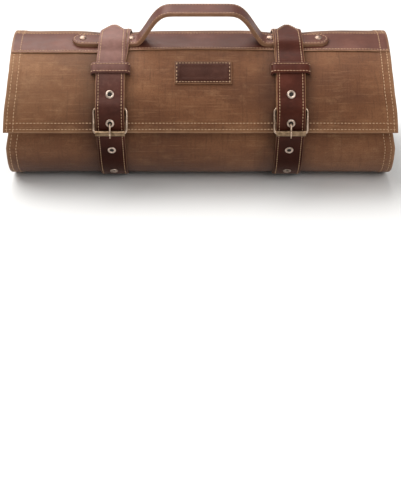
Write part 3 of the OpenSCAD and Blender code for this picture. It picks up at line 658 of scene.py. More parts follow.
band_faces = band_out, lambda s, x: swell(s, x) + 0.35
band_u = place(2, BAND_FROM), place(2, BAND_TO)
for o, *_ in layer("top_band", *band_u, 1 - HALF, HALF - 1, *band_faces, band_leather, 0.6, 0.8, 1.6):
    co = np.empty(3 * len(o.data.vertices), np.float32)
    o.data.vertices.foreach_get("co", co)
    co = drift(co.reshape(-1, 3) * 1000.0) / 1000
    o.data.vertices.foreach_set("co", co.astype(np.float32).ravel())
    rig.replaces(o, "band")
    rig.slot(o, "band_leather")
for angle in (73.8, 96.4):
    sew_along("leather", place(2, angle), 3 - HALF, HALF - 3, lambda s, x: band_out(s, x) + 0.1, drift)
for tag, side in SIDES:
    end_x = side * (HALF - SEAMS[1])
    sew_round("canvas", place(2, 73), place(2, 97), end_x, lambda s, x: band_out(s, x) + 0.1)

# Label: a small rectangle of thin leather on the middle of the flap, a little to the right.
# It is sewn down with one row round its border, and has a low ridge inside the row.
LABEL_FROM, LABEL_TO, LABEL_X, LABEL_HALF, LABEL_TALL, BORDER = 44, 62, 3, 32, 28.0, 2.5
label_leather = leather("label_leather", "#2a140e", "#3a1f17", "#503228", "#8a6448", 0.2, 0.08, 0.0)
label_s = (length_at(1, LABEL_FROM) + length_at(1, LABEL_TO)) / 2


def label_out(s, x):
    edge = np.minimum(LABEL_HALF - np.abs(x - LABEL_X), LABEL_TALL / 2 - np.abs(s - label_s))
    return swell(s, x) + 1.75 + 0.35 * bell(edge - 5.2, 1.6)


def on_label(s, x):
    return label_out(s, x) + 0.05


label_u, label_x = (place(1, LABEL_FROM), place(1, LABEL_TO)), (LABEL_X - LABEL_HALF, LABEL_X + LABEL_HALF)
label_faces = label_out, lambda s, x: swell(s, x) + 0.3
for o, *_ in layer("label", *label_u, *label_x, *label_faces, label_leather, 0.6, 0.8, 1.0, 1.6):
    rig.replaces(o, "patch")
    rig.slot(o, "band_leather")
border_u, border_x = (place(1, 45.6), place(1, 60.2)), (label_x[0] + BORDER, label_x[1] - BORDER)
for u in border_u:
    sew_along("leather", u, *border_x, on_label)
for x in border_x:
    sew_round("leather", *border_u, x, on_label)

# Buckle straps: two leather straps sewn to the flap along both edges. They run from the buckles' heel
# bars up over the band and the handle's tabs, and a short way down the back, leaning in a little.
STRAP_HALF, STRAP_ROW, STRAP_T, LEAN = 16.5, 13.4, 2.75, {"l": 3.4, "r": 1.3}
CLIMB = ((2, 69.4, 0.08), (2, 72, 1.75), (2, 77, 6.15), (2, 91, 6.15), (2, 97, 5.0), (2, 102.9, 3.8),
         (3, 112, 1.9), (3, 120, 0.1))
CLIMB_S = [START[0]] + [length_at(k, a) for k, a, h in CLIMB] + [START[-1]]
CLIMB_H = [0.08] + [h for k, a, h in CLIMB] + [0.08]
# its last number sets the strength of the painted highlight on the left strap's top
strap_leather = leather("strap_leather", "#2a0d07", "#40190f", "#5c2e22", "#b98d63", 0.22, 0.3, 0.42)


def climb(s):
    """Height of the strap's underside, where it steps up on band and tab and down again."""
    soften = ((-3, 0.15), (-1.5, 0.2), (0, 0.3), (1.5, 0.2), (3, 0.15))
    return sum(np.interp(np.asarray(s) + d, CLIMB_S, CLIMB_H) * share for d, share in soften)


for tag, side in SIDES:
    cx = side * STRAP_X

    def strap_out(s, x):
        return climb(s) + STRAP_T - 0.25 * bell(np.abs(x - cx) - STRAP_ROW, 0.8)

    def strap_warp(s, x):
        return x - LEAN[tag] * side * ease(s, length_at(1, 58), length_at(2, 80))

    strap_u, strap_x = (place(0, 28.6), place(3, 122)), (cx - STRAP_HALF, cx + STRAP_HALF)
    strap_faces = strap_out, lambda s, x: climb(s)
    for o, j, *_ in layer(f"buckle_strap_{tag}", *strap_u, *strap_x, *strap_faces, strap_leather, 0.8, 1.4,
                          1.2, 2.2, wear_w=1.2, warp=strap_warp):
        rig.slot(o, "strap_leather")
        if tag == "l":
            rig.replaces(o, *{0: ["strap_1", "strap_2"], 2: ["strap_3", "strap_4"]}.get(j, []))
    for x in (cx - STRAP_ROW, cx + STRAP_ROW):
        sew_round("leather", place(0, 33), place(3, 120), x, lambda s, x: climb(s) + STRAP_T, strap_warp)

# Loose tails: leather straps that start at the lower front corner. They climb past the hem under the roller,
# over the heel bar and through the keeper, and end in a stiff point that stands out behind the handle's
# tab. Above the keepers they narrow, so the buckle straps' edges show beside them.
TAIL_T, TAIL_ROW, TAIL_STEP, TAIL_NOSE = 2.8, 2.9, 0.8, 19


def spot(k, a, h):
    """A point of the section, h outside the sheet at angle a of panel k."""
    a = math.radians(a)
    out = RADIUS[k] + h
    return np.array([CENTRE_Y[k] + back_shift - out * math.cos(a), CENTRE_Z[k] + out * math.sin(a)])


def lengths(points):
    return np.concatenate([[0], np.cumsum(np.linalg.norm(np.diff(points, axis=0), axis=1))])


def spaced(points, s):
    return np.stack([np.interp(s, lengths(points), points[:, c]) for c in (0, 1)], 1)


def relaxed(points, times):
    for _ in range(times):
        points[1:-1] = 0.25 * points[:-2] + 0.5 * points[1:-1] + 0.25 * points[2:]
    return points


def normals_of(points):
    tangent = np.gradient(points, axis=0)
    tangent /= np.linalg.norm(tangent, axis=1)[:, None]
    return np.stack([-tangent[:, 1], tangent[:, 0]], 1)


dip, crest = spot(0, 11, 2.2), spot(0, 23.5, 6.4)
away = dip - np.array([front_y + back_shift, FRONT])
leave = 360 + math.degrees(math.atan2(away[1], -away[0]) - math.acos((FRONT + 0.15) / np.linalg.norm(away)))
way = [spot(8, a, 0.12) for a in np.arange(292, leave, 1.0)] + [dip, crest, spot(0, 28.5, 6.4)]
way += [spot(0, a, 3.1) for a in np.arange(34, 66, 1.0)]
way += [spot(2, a, float(climb(length_at(2, a))) + 3.15) for a in np.arange(67, 88, 0.75)]
way += [spot(2, 88, 9.3) + t * np.array([1.0, 0.01]) for t in np.arange(1.0, 20.0, 1.0)]
way = np.array(way)
tail_s = np.arange(0, lengths(way)[-1], TAIL_STEP)
tail_p = relaxed(spaced(way, tail_s), 14)
tail_n = normals_of(tail_p)


def tail_at(q):
    """Length along the tail that is nearest to a point of the section."""
    return tail_s[np.argmin(np.linalg.norm(tail_p - q, axis=1))]


# the tail bends with the sheet at its foot, past its eyelet below the roller, and behind the keeper
bend_1, bend_2 = tail_at(spot(8, leave, 0.12)) + 22, tail_at(spot(0, 64, 3.1))
cut_0 = tail_at(spot(8, 340, 0.12))
cut_1 = tail_s[np.argmin(np.abs(tail_s - (bend_1 + bend_2) / 2))]
TAIL_BENDS = (("front_1", "front_2", tail_at(spot(8, 295, 0.12)), cut_0),
              ("front_2", "tail_mid", bend_1 - 16, bend_1 + 16),
              ("tail_mid", "tail_tip", bend_2 - 20, bend_2 + 20))


def tail_point(s):
    i = min(np.searchsorted(tail_s, s), len(tail_s) - 1)
    return (0, *(tail_p[i] + TAIL_T / 2 * tail_n[i]) / 1000)


def tail_follow(o, part):
    before, after, start, end = TAIL_BENDS[part]
    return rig.blend(o, before, after, tail_point(start), tail_point(end))


def tail_half(s):
    """Half the tail's width: it narrows a little and its sides then curve in to a blunt nose."""
    d = np.clip(tail_s[-1] + 1 - np.asarray(s), 0.9, TAIL_NOSE)
    slim = 1 - 0.06 * ease(s, tail_at(spot(0, 58, 3.1)), tail_s[-1] - TAIL_NOSE)
    return TAIL_HALF * (d / TAIL_NOSE) ** 0.75 * slim


def stray(s):
    return -1.3 * ease(s, tail_at(spot(0, 56, 3.1)), tail_s[-1] - TAIL_NOSE)


for tag, side in SIDES:
    cx = side * STRAP_X

    def tail_out(s, x):
        return TAIL_T - 0.22 * bell(np.abs(x - cx) - (TAIL_HALF - TAIL_ROW), 0.8)

    def tail_warp(s, x):
        return cx + side * stray(s) + (x - cx) / TAIL_HALF * tail_half(s)

    for part, (a, b) in enumerate(((0.0, cut_0), (cut_0, cut_1), (cut_1, tail_s[-1] + 0.4))):
        keep = (tail_s >= a - 1e-6) & (tail_s <= b + 0.41)
        x = fine(cx - TAIL_HALF, cx + TAIL_HALF, 2.0, 0.9)
        o = slab(f"tail_{tag}_{part + 1}", tail_p[keep], tail_n[keep], tail_s[keep], x, tail_out, 0.0,
                 strap_leather, 0.9, (part == 0, part == 2), 1.1, tail_warp)
        tail_follow(o, part)
        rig.slot(o, "strap_leather")
        if tag == "l":
            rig.replaces(o, *(["billet"], ["tail_1"], ["tail_2", "tail_3"])[part])
        sewn = (tail_s >= max(a, 3.0)) & (tail_s <= min(b, tail_s[-1] - 2.4))
        s, q = tail_s[sewn], tail_p[sewn] + (TAIL_T + 0.05) * tail_n[sewn]
        for edge in (-1, 1):
            x = cx + side * stray(s) + edge * np.maximum(tail_half(s) - TAIL_ROW, 0.4)
            row = np.column_stack([x, q])
            sew("leather", ("tail", part), row, lambda o, part=part: tail_follow(o, part))

# Roller buckles: a frame of bent brass wire with rounded corners at the foot of each flap strap, worn
# and stained; stains are about 4 mm wide and scratches 0.7. The darker rollers keep their turned shape.
FRAME_HALF, FRAME_CORNER, FRAME_WIRE = 18.4, 4.5, 1.25


def metal(name, low, high, rough):
    m, tree, shader = finish(name, {"Metallic": 1.0})
    at = add(tree, "ShaderNodeTexCoord", out="Object")
    stains = {"Vector": at, "Scale": 1000 / 4.167, "Detail": 5.0, "Roughness": 0.65}
    scratches = {"Vector": at, "Scale": 1000 / 0.7143, "Detail": 3.0}
    stain, scratch = (add(tree, NOISE, sizes) for sizes in (stains, scratches))
    tone = add(tree, RAMP, {"Fac": stain}, [(0.32, low), (0.6, high)])
    dull = add(tree, RAMP, {"Fac": stain}, [(0.3, rough + 0.15), (0.7, rough)])
    bump = add(tree, "ShaderNodeBump", {"Strength": 0.12, "Distance": 0.0001, "Height": scratch})
    dress(tree, shader, {"Base Color": tone, "Roughness": dull, "Normal": bump})
    return m


def refinish(name, mat):
    """A piece that keeps its shape from the construction takes a finish."""
    slots = bpy.data.objects[name].data.materials
    slots.clear()
    slots.append(mat)


def settle(maker, name):
    """The plain mesh of a curve, or of what a node tree makes, as a piece of its own."""
    mesh = bpy.data.meshes.new_from_object(maker.evaluated_get(bpy.context.evaluated_depsgraph_get()))
    bpy.data.objects.remove(maker)
    mesh.name = name
    mesh.shade_smooth()
    return piece(name, mesh)


def lines_through(name, lines):
    """A curve with a line through each list of points, given in metres."""
    data = bpy.data.curves.new(name, "CURVE")
    data.dimensions = "3D"
    for points in lines:
        line = data.splines.new("POLY").points
        line.add(len(points) - 1)
        line.foreach_set("co", np.column_stack([points, np.ones(len(points))]).astype(np.float32).ravel())
    return data


def wire(name, points, radius, mat, closed=False, taper=1.0):
    """A round wire through points."""
    data = lines_through(name, [np.array(points) / 1000])
    data.bevel_depth, data.bevel_resolution = radius / 1000, 4
    data.use_fill_caps = True
    data.splines[0].points.foreach_set("radius", (taper * np.ones(len(points))).astype(np.float32))
    data.splines[0].use_cyclic_u = closed
    o = settle(piece(name + "_line", data), name)
    o.data.materials.clear()
    o.data.materials.append(mat)
    return o


brass = metal("antique_brass", "#77624f", "#d0b7a1", 0.3)
dark_brass = metal("roller_brass", "#55432f", "#937b62", 0.36)
heel, nose = spot(0, 27, 3.2), spot(0, 10.2, 8.4)
CORNERS = ((1, heel, nose, 0), (1, nose, heel, 1), (-1, nose, heel, 0), (-1, heel, nose, 1))
for tag, side in SIDES:
    bent = []
    for edge, q0, q1, turned in CORNERS:
        along = (q1 - q0) / np.linalg.norm(q1 - q0)
        for t in np.linspace(0, math.pi / 2, 7):
            inset = FRAME_CORNER * (1 - math.sin(t)), FRAME_CORNER * (1 - math.cos(t))
            in_x, in_s = inset[::-1] if turned else inset
            bent.append((side * STRAP_X + edge * (FRAME_HALF - in_x), *(q0 + along * in_s)))
    o = wire(f"buckle_frame_{tag}", bent, FRAME_WIRE, brass, True)
    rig.ride(o, f"frame_{tag}")
    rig.replaces(o, f"buckle_{tag}")
    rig.slot(o, "antique_brass")
    refinish(f"roller_bar_{tag}", dark_brass)

# Prongs: brass wire bent to an eye on the heel bar. It runs up through the tail's eyelet and rests
# on the roller with a tapered point.
PRONG_WIRE, EYE_R = 1.05, 2.35
along = (crest - dip) / np.linalg.norm(crest - dip)
out = np.array([-along[1], along[0]])
rise, over = dip + along * 10.2 - out * 1.4, dip + along * 8.7 + out * 5.3
reach = np.linalg.norm(rise - heel)
first = (rise - heel) / reach
turns = math.atan2(first[1], first[0]) + np.linspace(0.5, 2 * math.pi - 0.35, 16)
bent = [heel + EYE_R * np.array([math.cos(t), math.sin(t)]) for t in turns]
bent += [heel + first * 4, heel + first * 0.6 * reach, rise, (rise + over) / 2, over]
bent = np.array(bent + [spot(0, 10.6, 12.9), spot(0, 7.6, 11.7)])
t = np.linspace(0, lengths(bent)[-1], 90)
bent = relaxed(spaced(bent, t), 4)
for tag, side in SIDES:
    points = [(side * STRAP_X, *q) for q in bent]
    o = wire(f"prong_wire_{tag}", points, PRONG_WIRE, brass, False, np.clip((t[-1] - t) / 5, 0.55, 1))
    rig.ride(o, f"tongue_{tag}")
    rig.replaces(o, f"prong_{tag}")
    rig.slot(o, "antique_brass")

# Heel loops: the buckle straps' own ends, folded round the heel bars and sewn under the straps.
# A slot in the middle leaves room for the prong's eye.
LOOP_R, LOOP_T, SLOT_HALF = 1.75, 1.15, 2.2
t = np.linspace(math.radians(-150), math.radians(205), 26)
up = np.array([-math.cos(math.radians(27)), math.sin(math.radians(27))])
n = np.outer(np.sin(t), up) + np.outer(np.cos(t), (up[1], -up[0]))
for tag, side in SIDES:
    cx = side * STRAP_X
    for half, (xa, xb) in enumerate(((cx - STRAP_HALF, cx - SLOT_HALF), (cx + SLOT_HALF, cx + STRAP_HALF))):
        s, x = np.arange(len(t)) * 0.7, fine(xa, xb, 2.5, 0.4)
        o = slab(f"heel_loop_{tag}_{half + 1}", heel + LOOP_R * n, n, s, x, LOOP_T, 0.0, strap_leather, 0.4,
                 wear_w=0.8)
        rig.ride(o, "flap_1")
        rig.slot(o, "strap_leather")

# Keepers: flat leather loops sewn to the flap round strap and tail, which hold the tail down.
# Each has rounded corners, raised edges and a sewn row along either edge.
KEEPER_HALF, KEEPER_TOP, KEEPER_T, KEEPER_CORNER = 22.0, 6.0, 2.0, 3.2
wall, arc = KEEPER_HALF - KEEPER_T, np.linspace(0, math.pi / 2, 7)
corner_x, corner_h = (KEEPER_CORNER * (1 - way(arc)) for way in (np.cos, np.sin))
corner = list(zip(wall - corner_x, KEEPER_TOP - corner_h))
loop = np.array([(-wall, 0.2)] + [(-x, h) for x, h in corner] + corner[::-1] + [(wall, 0.2)])
loop = spaced(loop, np.linspace(0, lengths(loop)[-1], 60))
loop_n = normals_of(loop)
keeper_p, keeper_n, s = on_sheet(np.linspace(place(1, 51), place(1, 59), 13))
w = (s - s[0]) / (s[-1] - s[0])
ridge = 0.3 * (bell(w - 0.06, 0.07) + bell(w - 0.94, 0.07))
ridge -= 0.15 * (bell(w - 0.22, 0.05) + bell(w - 0.78, 0.05))
rim = np.zeros(len(w))
rim[[0, -1]] = 1
for tag, side in SIDES:
    grids = []
    for off in (KEEPER_T + ridge - 0.5 * rim, 0.3 * rim, np.full(len(w), KEEPER_T + 0.02)):
        around = loop + off[:, None, None] * loop_n
        out = keeper_p[:, None] + around[..., 1:] * keeper_n[:, None]
        grids.append(np.concatenate([side * STRAP_X + around[..., :1], out], -1))
    o = shell(f"keeper_{tag}", *grids[:2], strap_leather)
    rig.ride(o, "flap_2")
    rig.slot(o, "strap_leather")
    if tag == "l":
        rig.replaces(o, "keepers")
    for i in (2, 10):
        sew("leather", ("ride", "flap_2"), grids[2][i, 6:-6], lambda o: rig.ride(o, "flap_2"))

# Handle: one doubled leather strap, riveted down at both ends and arched between them, with two sewn
# rows along it. The arch turns where it leaves the tabs, so each foot bends between tab and grip.
TAB_IN, TAB_OUT, FLAT, FOOT, RISE, TAB_ANGLE = 74.0, 146.0, 30.0, 52.0, 41.5, math.radians(84)
HANDLE_HALF, HANDLE_T, HANDLE_ROW, HANDLE_H, ROUND = 12.0, 4.4, 9.4, 4.0, 0.8
half_x = np.concatenate([np.linspace(-TAB_OUT, -TAB_IN, 40), np.linspace(-TAB_IN + 1, -FLAT, 40)])
handle_x = np.concatenate([half_x, np.linspace(-FLAT + 3, FLAT - 3, 20), -half_x[::-1]])
fall = np.clip((np.abs(handle_x) - FLAT) / (TAB_IN - 0.4 - FLAT), 0, 1)
lift = (1 + np.cos(np.pi * fall**1.5)) / 2 * (RISE - HANDLE_T)
handle_p = relaxed(np.stack([handle_x, lift], 1), 8)
handle_n = normals_of(handle_p)


def on_tab(x, t, h):
    """A place over the handle's rivet line: t across it to the front, h out from the sheet."""
    n, f = (-math.cos(TAB_ANGLE), math.sin(TAB_ANGLE)), (-math.sin(TAB_ANGLE), -math.cos(TAB_ANGLE))
    y = CENTRE_Y[2] + back_shift + (TOP + h) * n[0] + t * f[0]
    z = CENTRE_Z[2] + (TOP + h) * n[1] + t * f[1]
    return np.stack([x + 0 * y, y, z], -1)


def sag(t):
    """How far the handle's underside drops at t, where it lies on the curved band."""
    return (TOP + HANDLE_H) * (1 - np.sqrt(1 - (t / (TOP + HANDLE_H)) ** 2))


# outline of the doubled strap: rounded edges with the seam between its two layers, and sewn grooves
W, T = HANDLE_HALF, HANDLE_T / 2
arc = np.linspace(0, math.pi / 2, 5)
edge = [(W - ROUND + ROUND * math.sin(q), T - ROUND + ROUND * math.cos(q)) for q in arc]
edge += [(W, 0.6), (W - 0.05, 0.3), (W - 0.55, 0.0), (W - 0.05, -0.3), (W, -0.6)]
edge += [(W - ROUND + ROUND * math.cos(q), -T + ROUND - ROUND * math.sin(q)) for q in arc]
top_t = np.concatenate([np.linspace(-10.6, -8.2, 7), np.linspace(-7, 7, 8), np.linspace(8.2, 10.6, 7)])
outline = [(v, T - 0.28 * bell(abs(v) - HANDLE_ROW, 0.7)) for v in top_t] + edge
outline = np.array(outline + [(v, -T) for v in np.linspace(9, -9, 8)] + [(-v, h) for v, h in edge[::-1]])


def handle_piece(name, keep, rider, end_side=0):
    """A stretch of the handle. On the tabs it lies on the curved band; on the arch it is straight across."""
    p, n = handle_p[keep], handle_n[keep]
    end = TAB_OUT - np.abs(p[:, 0])
    nose = np.where(end < W, np.sqrt(np.maximum(1 - ((W - end) / W) ** 2, 0.0025)), 1.0)[:, None]
    lie = np.clip(1 - p[:, 1] / 9.0, 0, 1)[:, None]

    def put(t, h):
        return on_tab(p[:, :1] + h * n[:, :1], t, HANDLE_H + p[:, 1:] + h * n[:, 1:] - lie * sag(t))

    verts = put(outline[:, 0] * nose, outline[:, 1] + 0 * nose).reshape(-1, 3) / 1000
    N, M = len(p), len(outline)
    g = np.arange(N * M).reshape(N, M)
    h = np.roll(g, -1, 1)
    faces = np.stack([g[:-1], g[1:], h[1:], h[:-1]], -1).reshape(-1, 4).tolist()
    mesh = bpy.data.meshes.new(name)
    mesh.from_pydata(verts.tolist(), [], faces + [g[0].tolist(), g[-1][::-1].tolist()])
    worn = np.tile(np.where(np.abs(outline[:, 0]) > W - 0.6, 0.85, 0.0), N).astype(np.float32)
    mesh.attributes.new("wear", "FLOAT", "POINT").data.foreach_set("value", worn)
    mesh.shade_smooth()
    mesh.set_sharp_from_angle(angle=math.radians(60))
    mesh.materials.append(band_leather)
    o = piece(name, mesh)
    rider(o)
    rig.slot(o, "band_leather")
    for t in (-HANDLE_ROW, HANDLE_ROW):
        row = put(np.full((N, 1), t), T - 0.12 + 0 * nose)
        sew("leather", ("handle", name), row[end > W, 0], rider)
    if end_side:
        q = np.linspace(-math.pi / 2, math.pi / 2, 24)
        t, x = HANDLE_ROW * np.sin(q), end_side * (TAB_OUT - W + HANDLE_ROW * np.cos(q))
        sew("leather", ("handle", name), on_tab(x, t, HANDLE_H + T - 0.12 - sag(t)), rider)
    return o


for tag, side in SIDES:
    on_end = side * handle_x >= TAB_IN - 1e-6
    o = handle_piece(f"handle_tab_{tag}", on_end, lambda o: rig.ride(o, "flap_3"), side)
    if tag == "l":
        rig.replaces(o, "handle_tabs")
for tag, side in SIDES:
    on_foot = (side * handle_x >= FOOT) & (side * handle_x <= TAB_IN + 1e-6)
    grip_x = np.min(np.abs(handle_x[on_foot]))

    def foot_follow(o, tab=(side * TAB_IN / 1000, 0, 0), grip=(side * grip_x / 1000, 0, 0)):
        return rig.blend(o, "flap_3", "grip", tab, grip)

    handle_piece(f"handle_foot_{tag}", on_foot, foot_follow)
o = handle_piece("handle_arch", np.abs(handle_x) <= grip_x + 1e-6, lambda o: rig.ride(o, "grip"))
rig.replaces(o, "handle_grip")

# Lining: plain cotton canvas, browner and less waxed than the outer cloth, with slubs in its yarn. It is
# the inner face of the sheet between the two zipped ends; pockets and cover are cut from it too.
# Pattern sizes are in millimetres: clouds 71, slubs 2.4, and a weave drawn coarse enough to show.
lining, tree, shader = finish("lining_canvas", {"Roughness": 0.8, "Specular IOR Level": 0.2})
coord = add(tree, "ShaderNodeTexCoord", out=None)
clouds = {"Vector": coord["Object"], "Scale": 1000 / 71.43, "Detail": 5.0, "Roughness": 0.6}
slubs = {"Vector": coord["Object"], "Scale": 1000 / 2.381, "Detail": 3.0}
cloud, slub = (add(tree, NOISE, sizes) for sizes in (clouds, slubs))
browns = [(0.3, "#46291a"), (0.55, "#573721"), (0.8, "#6b4a30")]
tone = add(tree, RAMP, {"Fac": cloud}, browns)
tone = lay_over(tree, tone, "#8a6646", (slub, [(0.55, 0), (0.75, 0.4)]))
rub = add(tree, "ShaderNodeAttribute", out="Fac", attribute_name="wear")
tone = lay_over(tree, tone, "#8d6a48", rub, 0.5)
cloth = weave(tree, coord["UV"], 0.748, 0.8, 2.0)
bump = add(tree, "ShaderNodeBump", {"Strength": 0.35, "Distance": 0.0003, "Height": cloth})
dress(tree, shader, {"Base Color": tone, "Normal": bump})
for o, *_ in sheet_parts:
    uv = np.empty(2 * len(o.data.loops), np.float32)
    o.data.uv_layers["UVMap"].data.foreach_get("uv", uv)
    along = uv.reshape(-1, 4, 2)[:, 0, 1] * 1000
    across = len(canvas_x)
    faces = (len(o.data.vertices) // (2 * across) - 1) * (across - 1)
    number = np.arange(len(along))
    lined = (number >= faces) & (number < 2 * faces) & (along > START[3]) & (along < START[11])
    o.data.materials.append(lining)
    o.data.polygons.foreach_set("material_index", lined.astype(np.int32))

# Zipped pocket facings: the inner cloth of flap and inner end, of the same waxed canvas. A slot leaves
# the zip open, with a sewn frame round it, and the edge towards the tool pockets has a turned hem.
ZIPS = (("flap", 2, 76.0, 0.98), ("end", 11, 432.0, 0.02))
ZIP_SLOT, ZIP_END, FRAME_S, FRAME_X, HEM_ROW = 7.1, 181.0, 10.5, 186, 208
facing_x = HALF - 11
for tag, k, angle, free in ZIPS:
    zip_u, du = place(k, angle), ZIP_SLOT / LENGTH[k]
    hem_s = on_sheet(k + free)[2][0]

    def facing_in(s, x):
        return -3.9 - 0.6 * edge_of(np.abs(s - hem_s) - 9, 0.5) - 0.1 * np.sin(x * 0.21)

    def on_facing(s, x):
        return facing_in(s, x) - 0.16

    strips = ((zip_u + du, k + 0.98, -facing_x, facing_x), (k + 0.02, zip_u - du, -facing_x, facing_x),
              (zip_u - du, zip_u + du, -facing_x, -ZIP_END), (zip_u - du, zip_u + du, ZIP_END, facing_x))
    made = []
    for part, strip in enumerate(strips):
        made += layer(f"facing_{tag}_{part + 1}", *strip, -2.3, facing_in, canvas, 0.4, -3.6, wear_w=2.0)
    for o, *_ in made:
        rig.slot(o, "waxed_canvas")
    inward = -1 if free > 0.5 else 1
    for off in (2.5, 8.0):
        sew_along("canvas", k + free + inward * off / LENGTH[k], -HEM_ROW, HEM_ROW, on_facing)
    frame_u = FRAME_S / LENGTH[k]
    for sign in (-1, 1):
        sew_along("canvas", zip_u + sign * frame_u, -FRAME_X, FRAME_X, on_facing)
        sew_round("canvas", zip_u - frame_u, zip_u + frame_u, sign * FRAME_X, on_facing)
    made.sort(key=lambda row: -row[4] * len(row[0].data.vertices))
    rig.replaces(made[0][0], f"zip_facing_{tag}")
    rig.sheet(made[0][0], flat=(2 * facing_x / 1000, made[0][4] / 1000), held="stretched",
             rests_on=[f"zip_facing_{tag}"], with_pieces=[row[0] for row in made[1:]])

# Zips: a dark woven tape sewn behind each facing's slot, ribbed every 1.05 mm, with two rows of
# interlocking metal teeth. Sliders and pulls keep their cast shape.
TAPE_HALF, TEETH_OFF, TOOTH_PITCH = 7.4, 1.05, 0.0026
tape, tree, shader = finish("zip_tape", {"Roughness": 0.85})
coord = add(tree, "ShaderNodeTexCoord", out=None)
ribs = {"Vector": coord["UV"], "Scale": WAVE_MM / 1.0472, "Distortion": 0.3}
rib = add(tree, "ShaderNodeTexWave", ribs, out="Fac")
tone = add(tree, RAMP, {"Fac": rib}, [(0.2, "#211b14"), (0.8, "#3a3024")])
dress(tree, shader, {"Base Color": tone})
zip_metal = metal("zip_metal", "#5d594f", "#a8a293", 0.34)


def small_parts(name, sizes, build):
    """A node tree that sets small parts on a piece's lines or points, with named inputs for its sizes."""
    g = bpy.data.node_groups.new(name, "GeometryNodeTree")
    g.interface.new_socket("Geometry", in_out="INPUT", socket_type="NodeSocketGeometry")
    for label, value in sizes.items():
        kind = "NodeSocketVector" if isinstance(value, tuple) else "NodeSocketFloat"
        g.interface.new_socket(label, in_out="INPUT", socket_type=kind)
    g.interface.new_socket("Geometry", in_out="OUTPUT", socket_type="NodeSocketGeometry")
    given = add(g, "NodeGroupInput", out=None)
    add(g, "NodeGroupOutput", {0: build(g, given)}, out=None)
    return g


def set_out(g, points, solid, turn, mat):
    """A turned copy of the solid on every point, made real and given its material."""
    spread = {"Points": points, "Instance": solid, "Rotation": turn}
    put = add(g, "GeometryNodeInstanceOnPoints", spread)
    real = add(g, "GeometryNodeRealizeInstances", {"Geometry": put})
    return add(g, "GeometryNodeSetMaterial", {"Geometry": real, "Material": mat})


def row_of(shape, counts, mat):
    """How to build a row: the solid at an even pitch along each line, laid along it."""
    def build(g, given):
        lines = {"Curve": given["Geometry"], "Length": given["Pitch"]}
        even = add(g, "GeometryNodeResampleCurve", lines, mode="LENGTH")
        solid = add(g, shape, counts)
        sized = add(g, "GeometryNodeTransform", {"Geometry": solid, "Scale": given["Size"]})
        way = add(g, "GeometryNodeInputTangent")
        turn = add(g, "FunctionNodeAlignRotationToVector", {"Vector": way}, axis="X")
        return set_out(g, even, sized, turn, mat)

    return build


def make_parts(name, data, group, sizes):
    """Runs a node tree with its sizes over a curve or mesh, and keeps the result as a plain mesh."""
    maker = piece(name + "_maker", data)
    modifier = maker.modifiers.new("parts", "NODES")
    modifier.node_group = group
    for item in group.interface.items_tree:
        if item.in_out == "INPUT" and item.name in sizes:
            modifier[item.identifier] = sizes[item.name]
    return settle(maker, name)


tooth = {"Pitch": TOOTH_PITCH, "Size": (0.0013, 0.0034, 0.0015)}
teeth = small_parts("zip_teeth", tooth, row_of("GeometryNodeMeshCube", {}, zip_metal))
for tag, k, angle, free in ZIPS:
    zip_u = place(k, angle)
    bend = int(zip_u + 0.5) - 1
    p, n, s = on_sheet(np.linspace(zip_u - TAPE_HALF / LENGTH[k], zip_u + TAPE_HALF / LENGTH[k], 8))
    x = fine(-ZIP_END - 0.5, ZIP_END + 0.5, 6, 0.3)
    o = slab(f"zip_tape_{tag}", p, n, s, x, -2.4, -3.75, tape, 0.3)
    follow(o, bend, -3.6)
    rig.slot(o, "zip_metal")
    lines = []
    for off, ahead in ((-TEETH_OFF, 0.0), (TEETH_OFF, TOOTH_PITCH / 2)):
        p, n, s = on_sheet(zip_u + off / LENGTH[k])
        x = np.linspace(-0.178 + ahead, 0.177 + ahead, 40)
        lines.append(np.column_stack([x, np.repeat((p - 4.3 * n) / 1000, len(x), 0)]))
    o = make_parts(f"zip_teeth_{tag}", lines_through("teeth", lines), teeth, tooth)
    follow(o, bend, -3.6)
    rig.replaces(o, f"zip_chain_{tag}")
    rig.slot(o, "zip_metal")
    for part in ("slider", "pull"):
        refinish(f"{part}_{tag}", zip_metal)

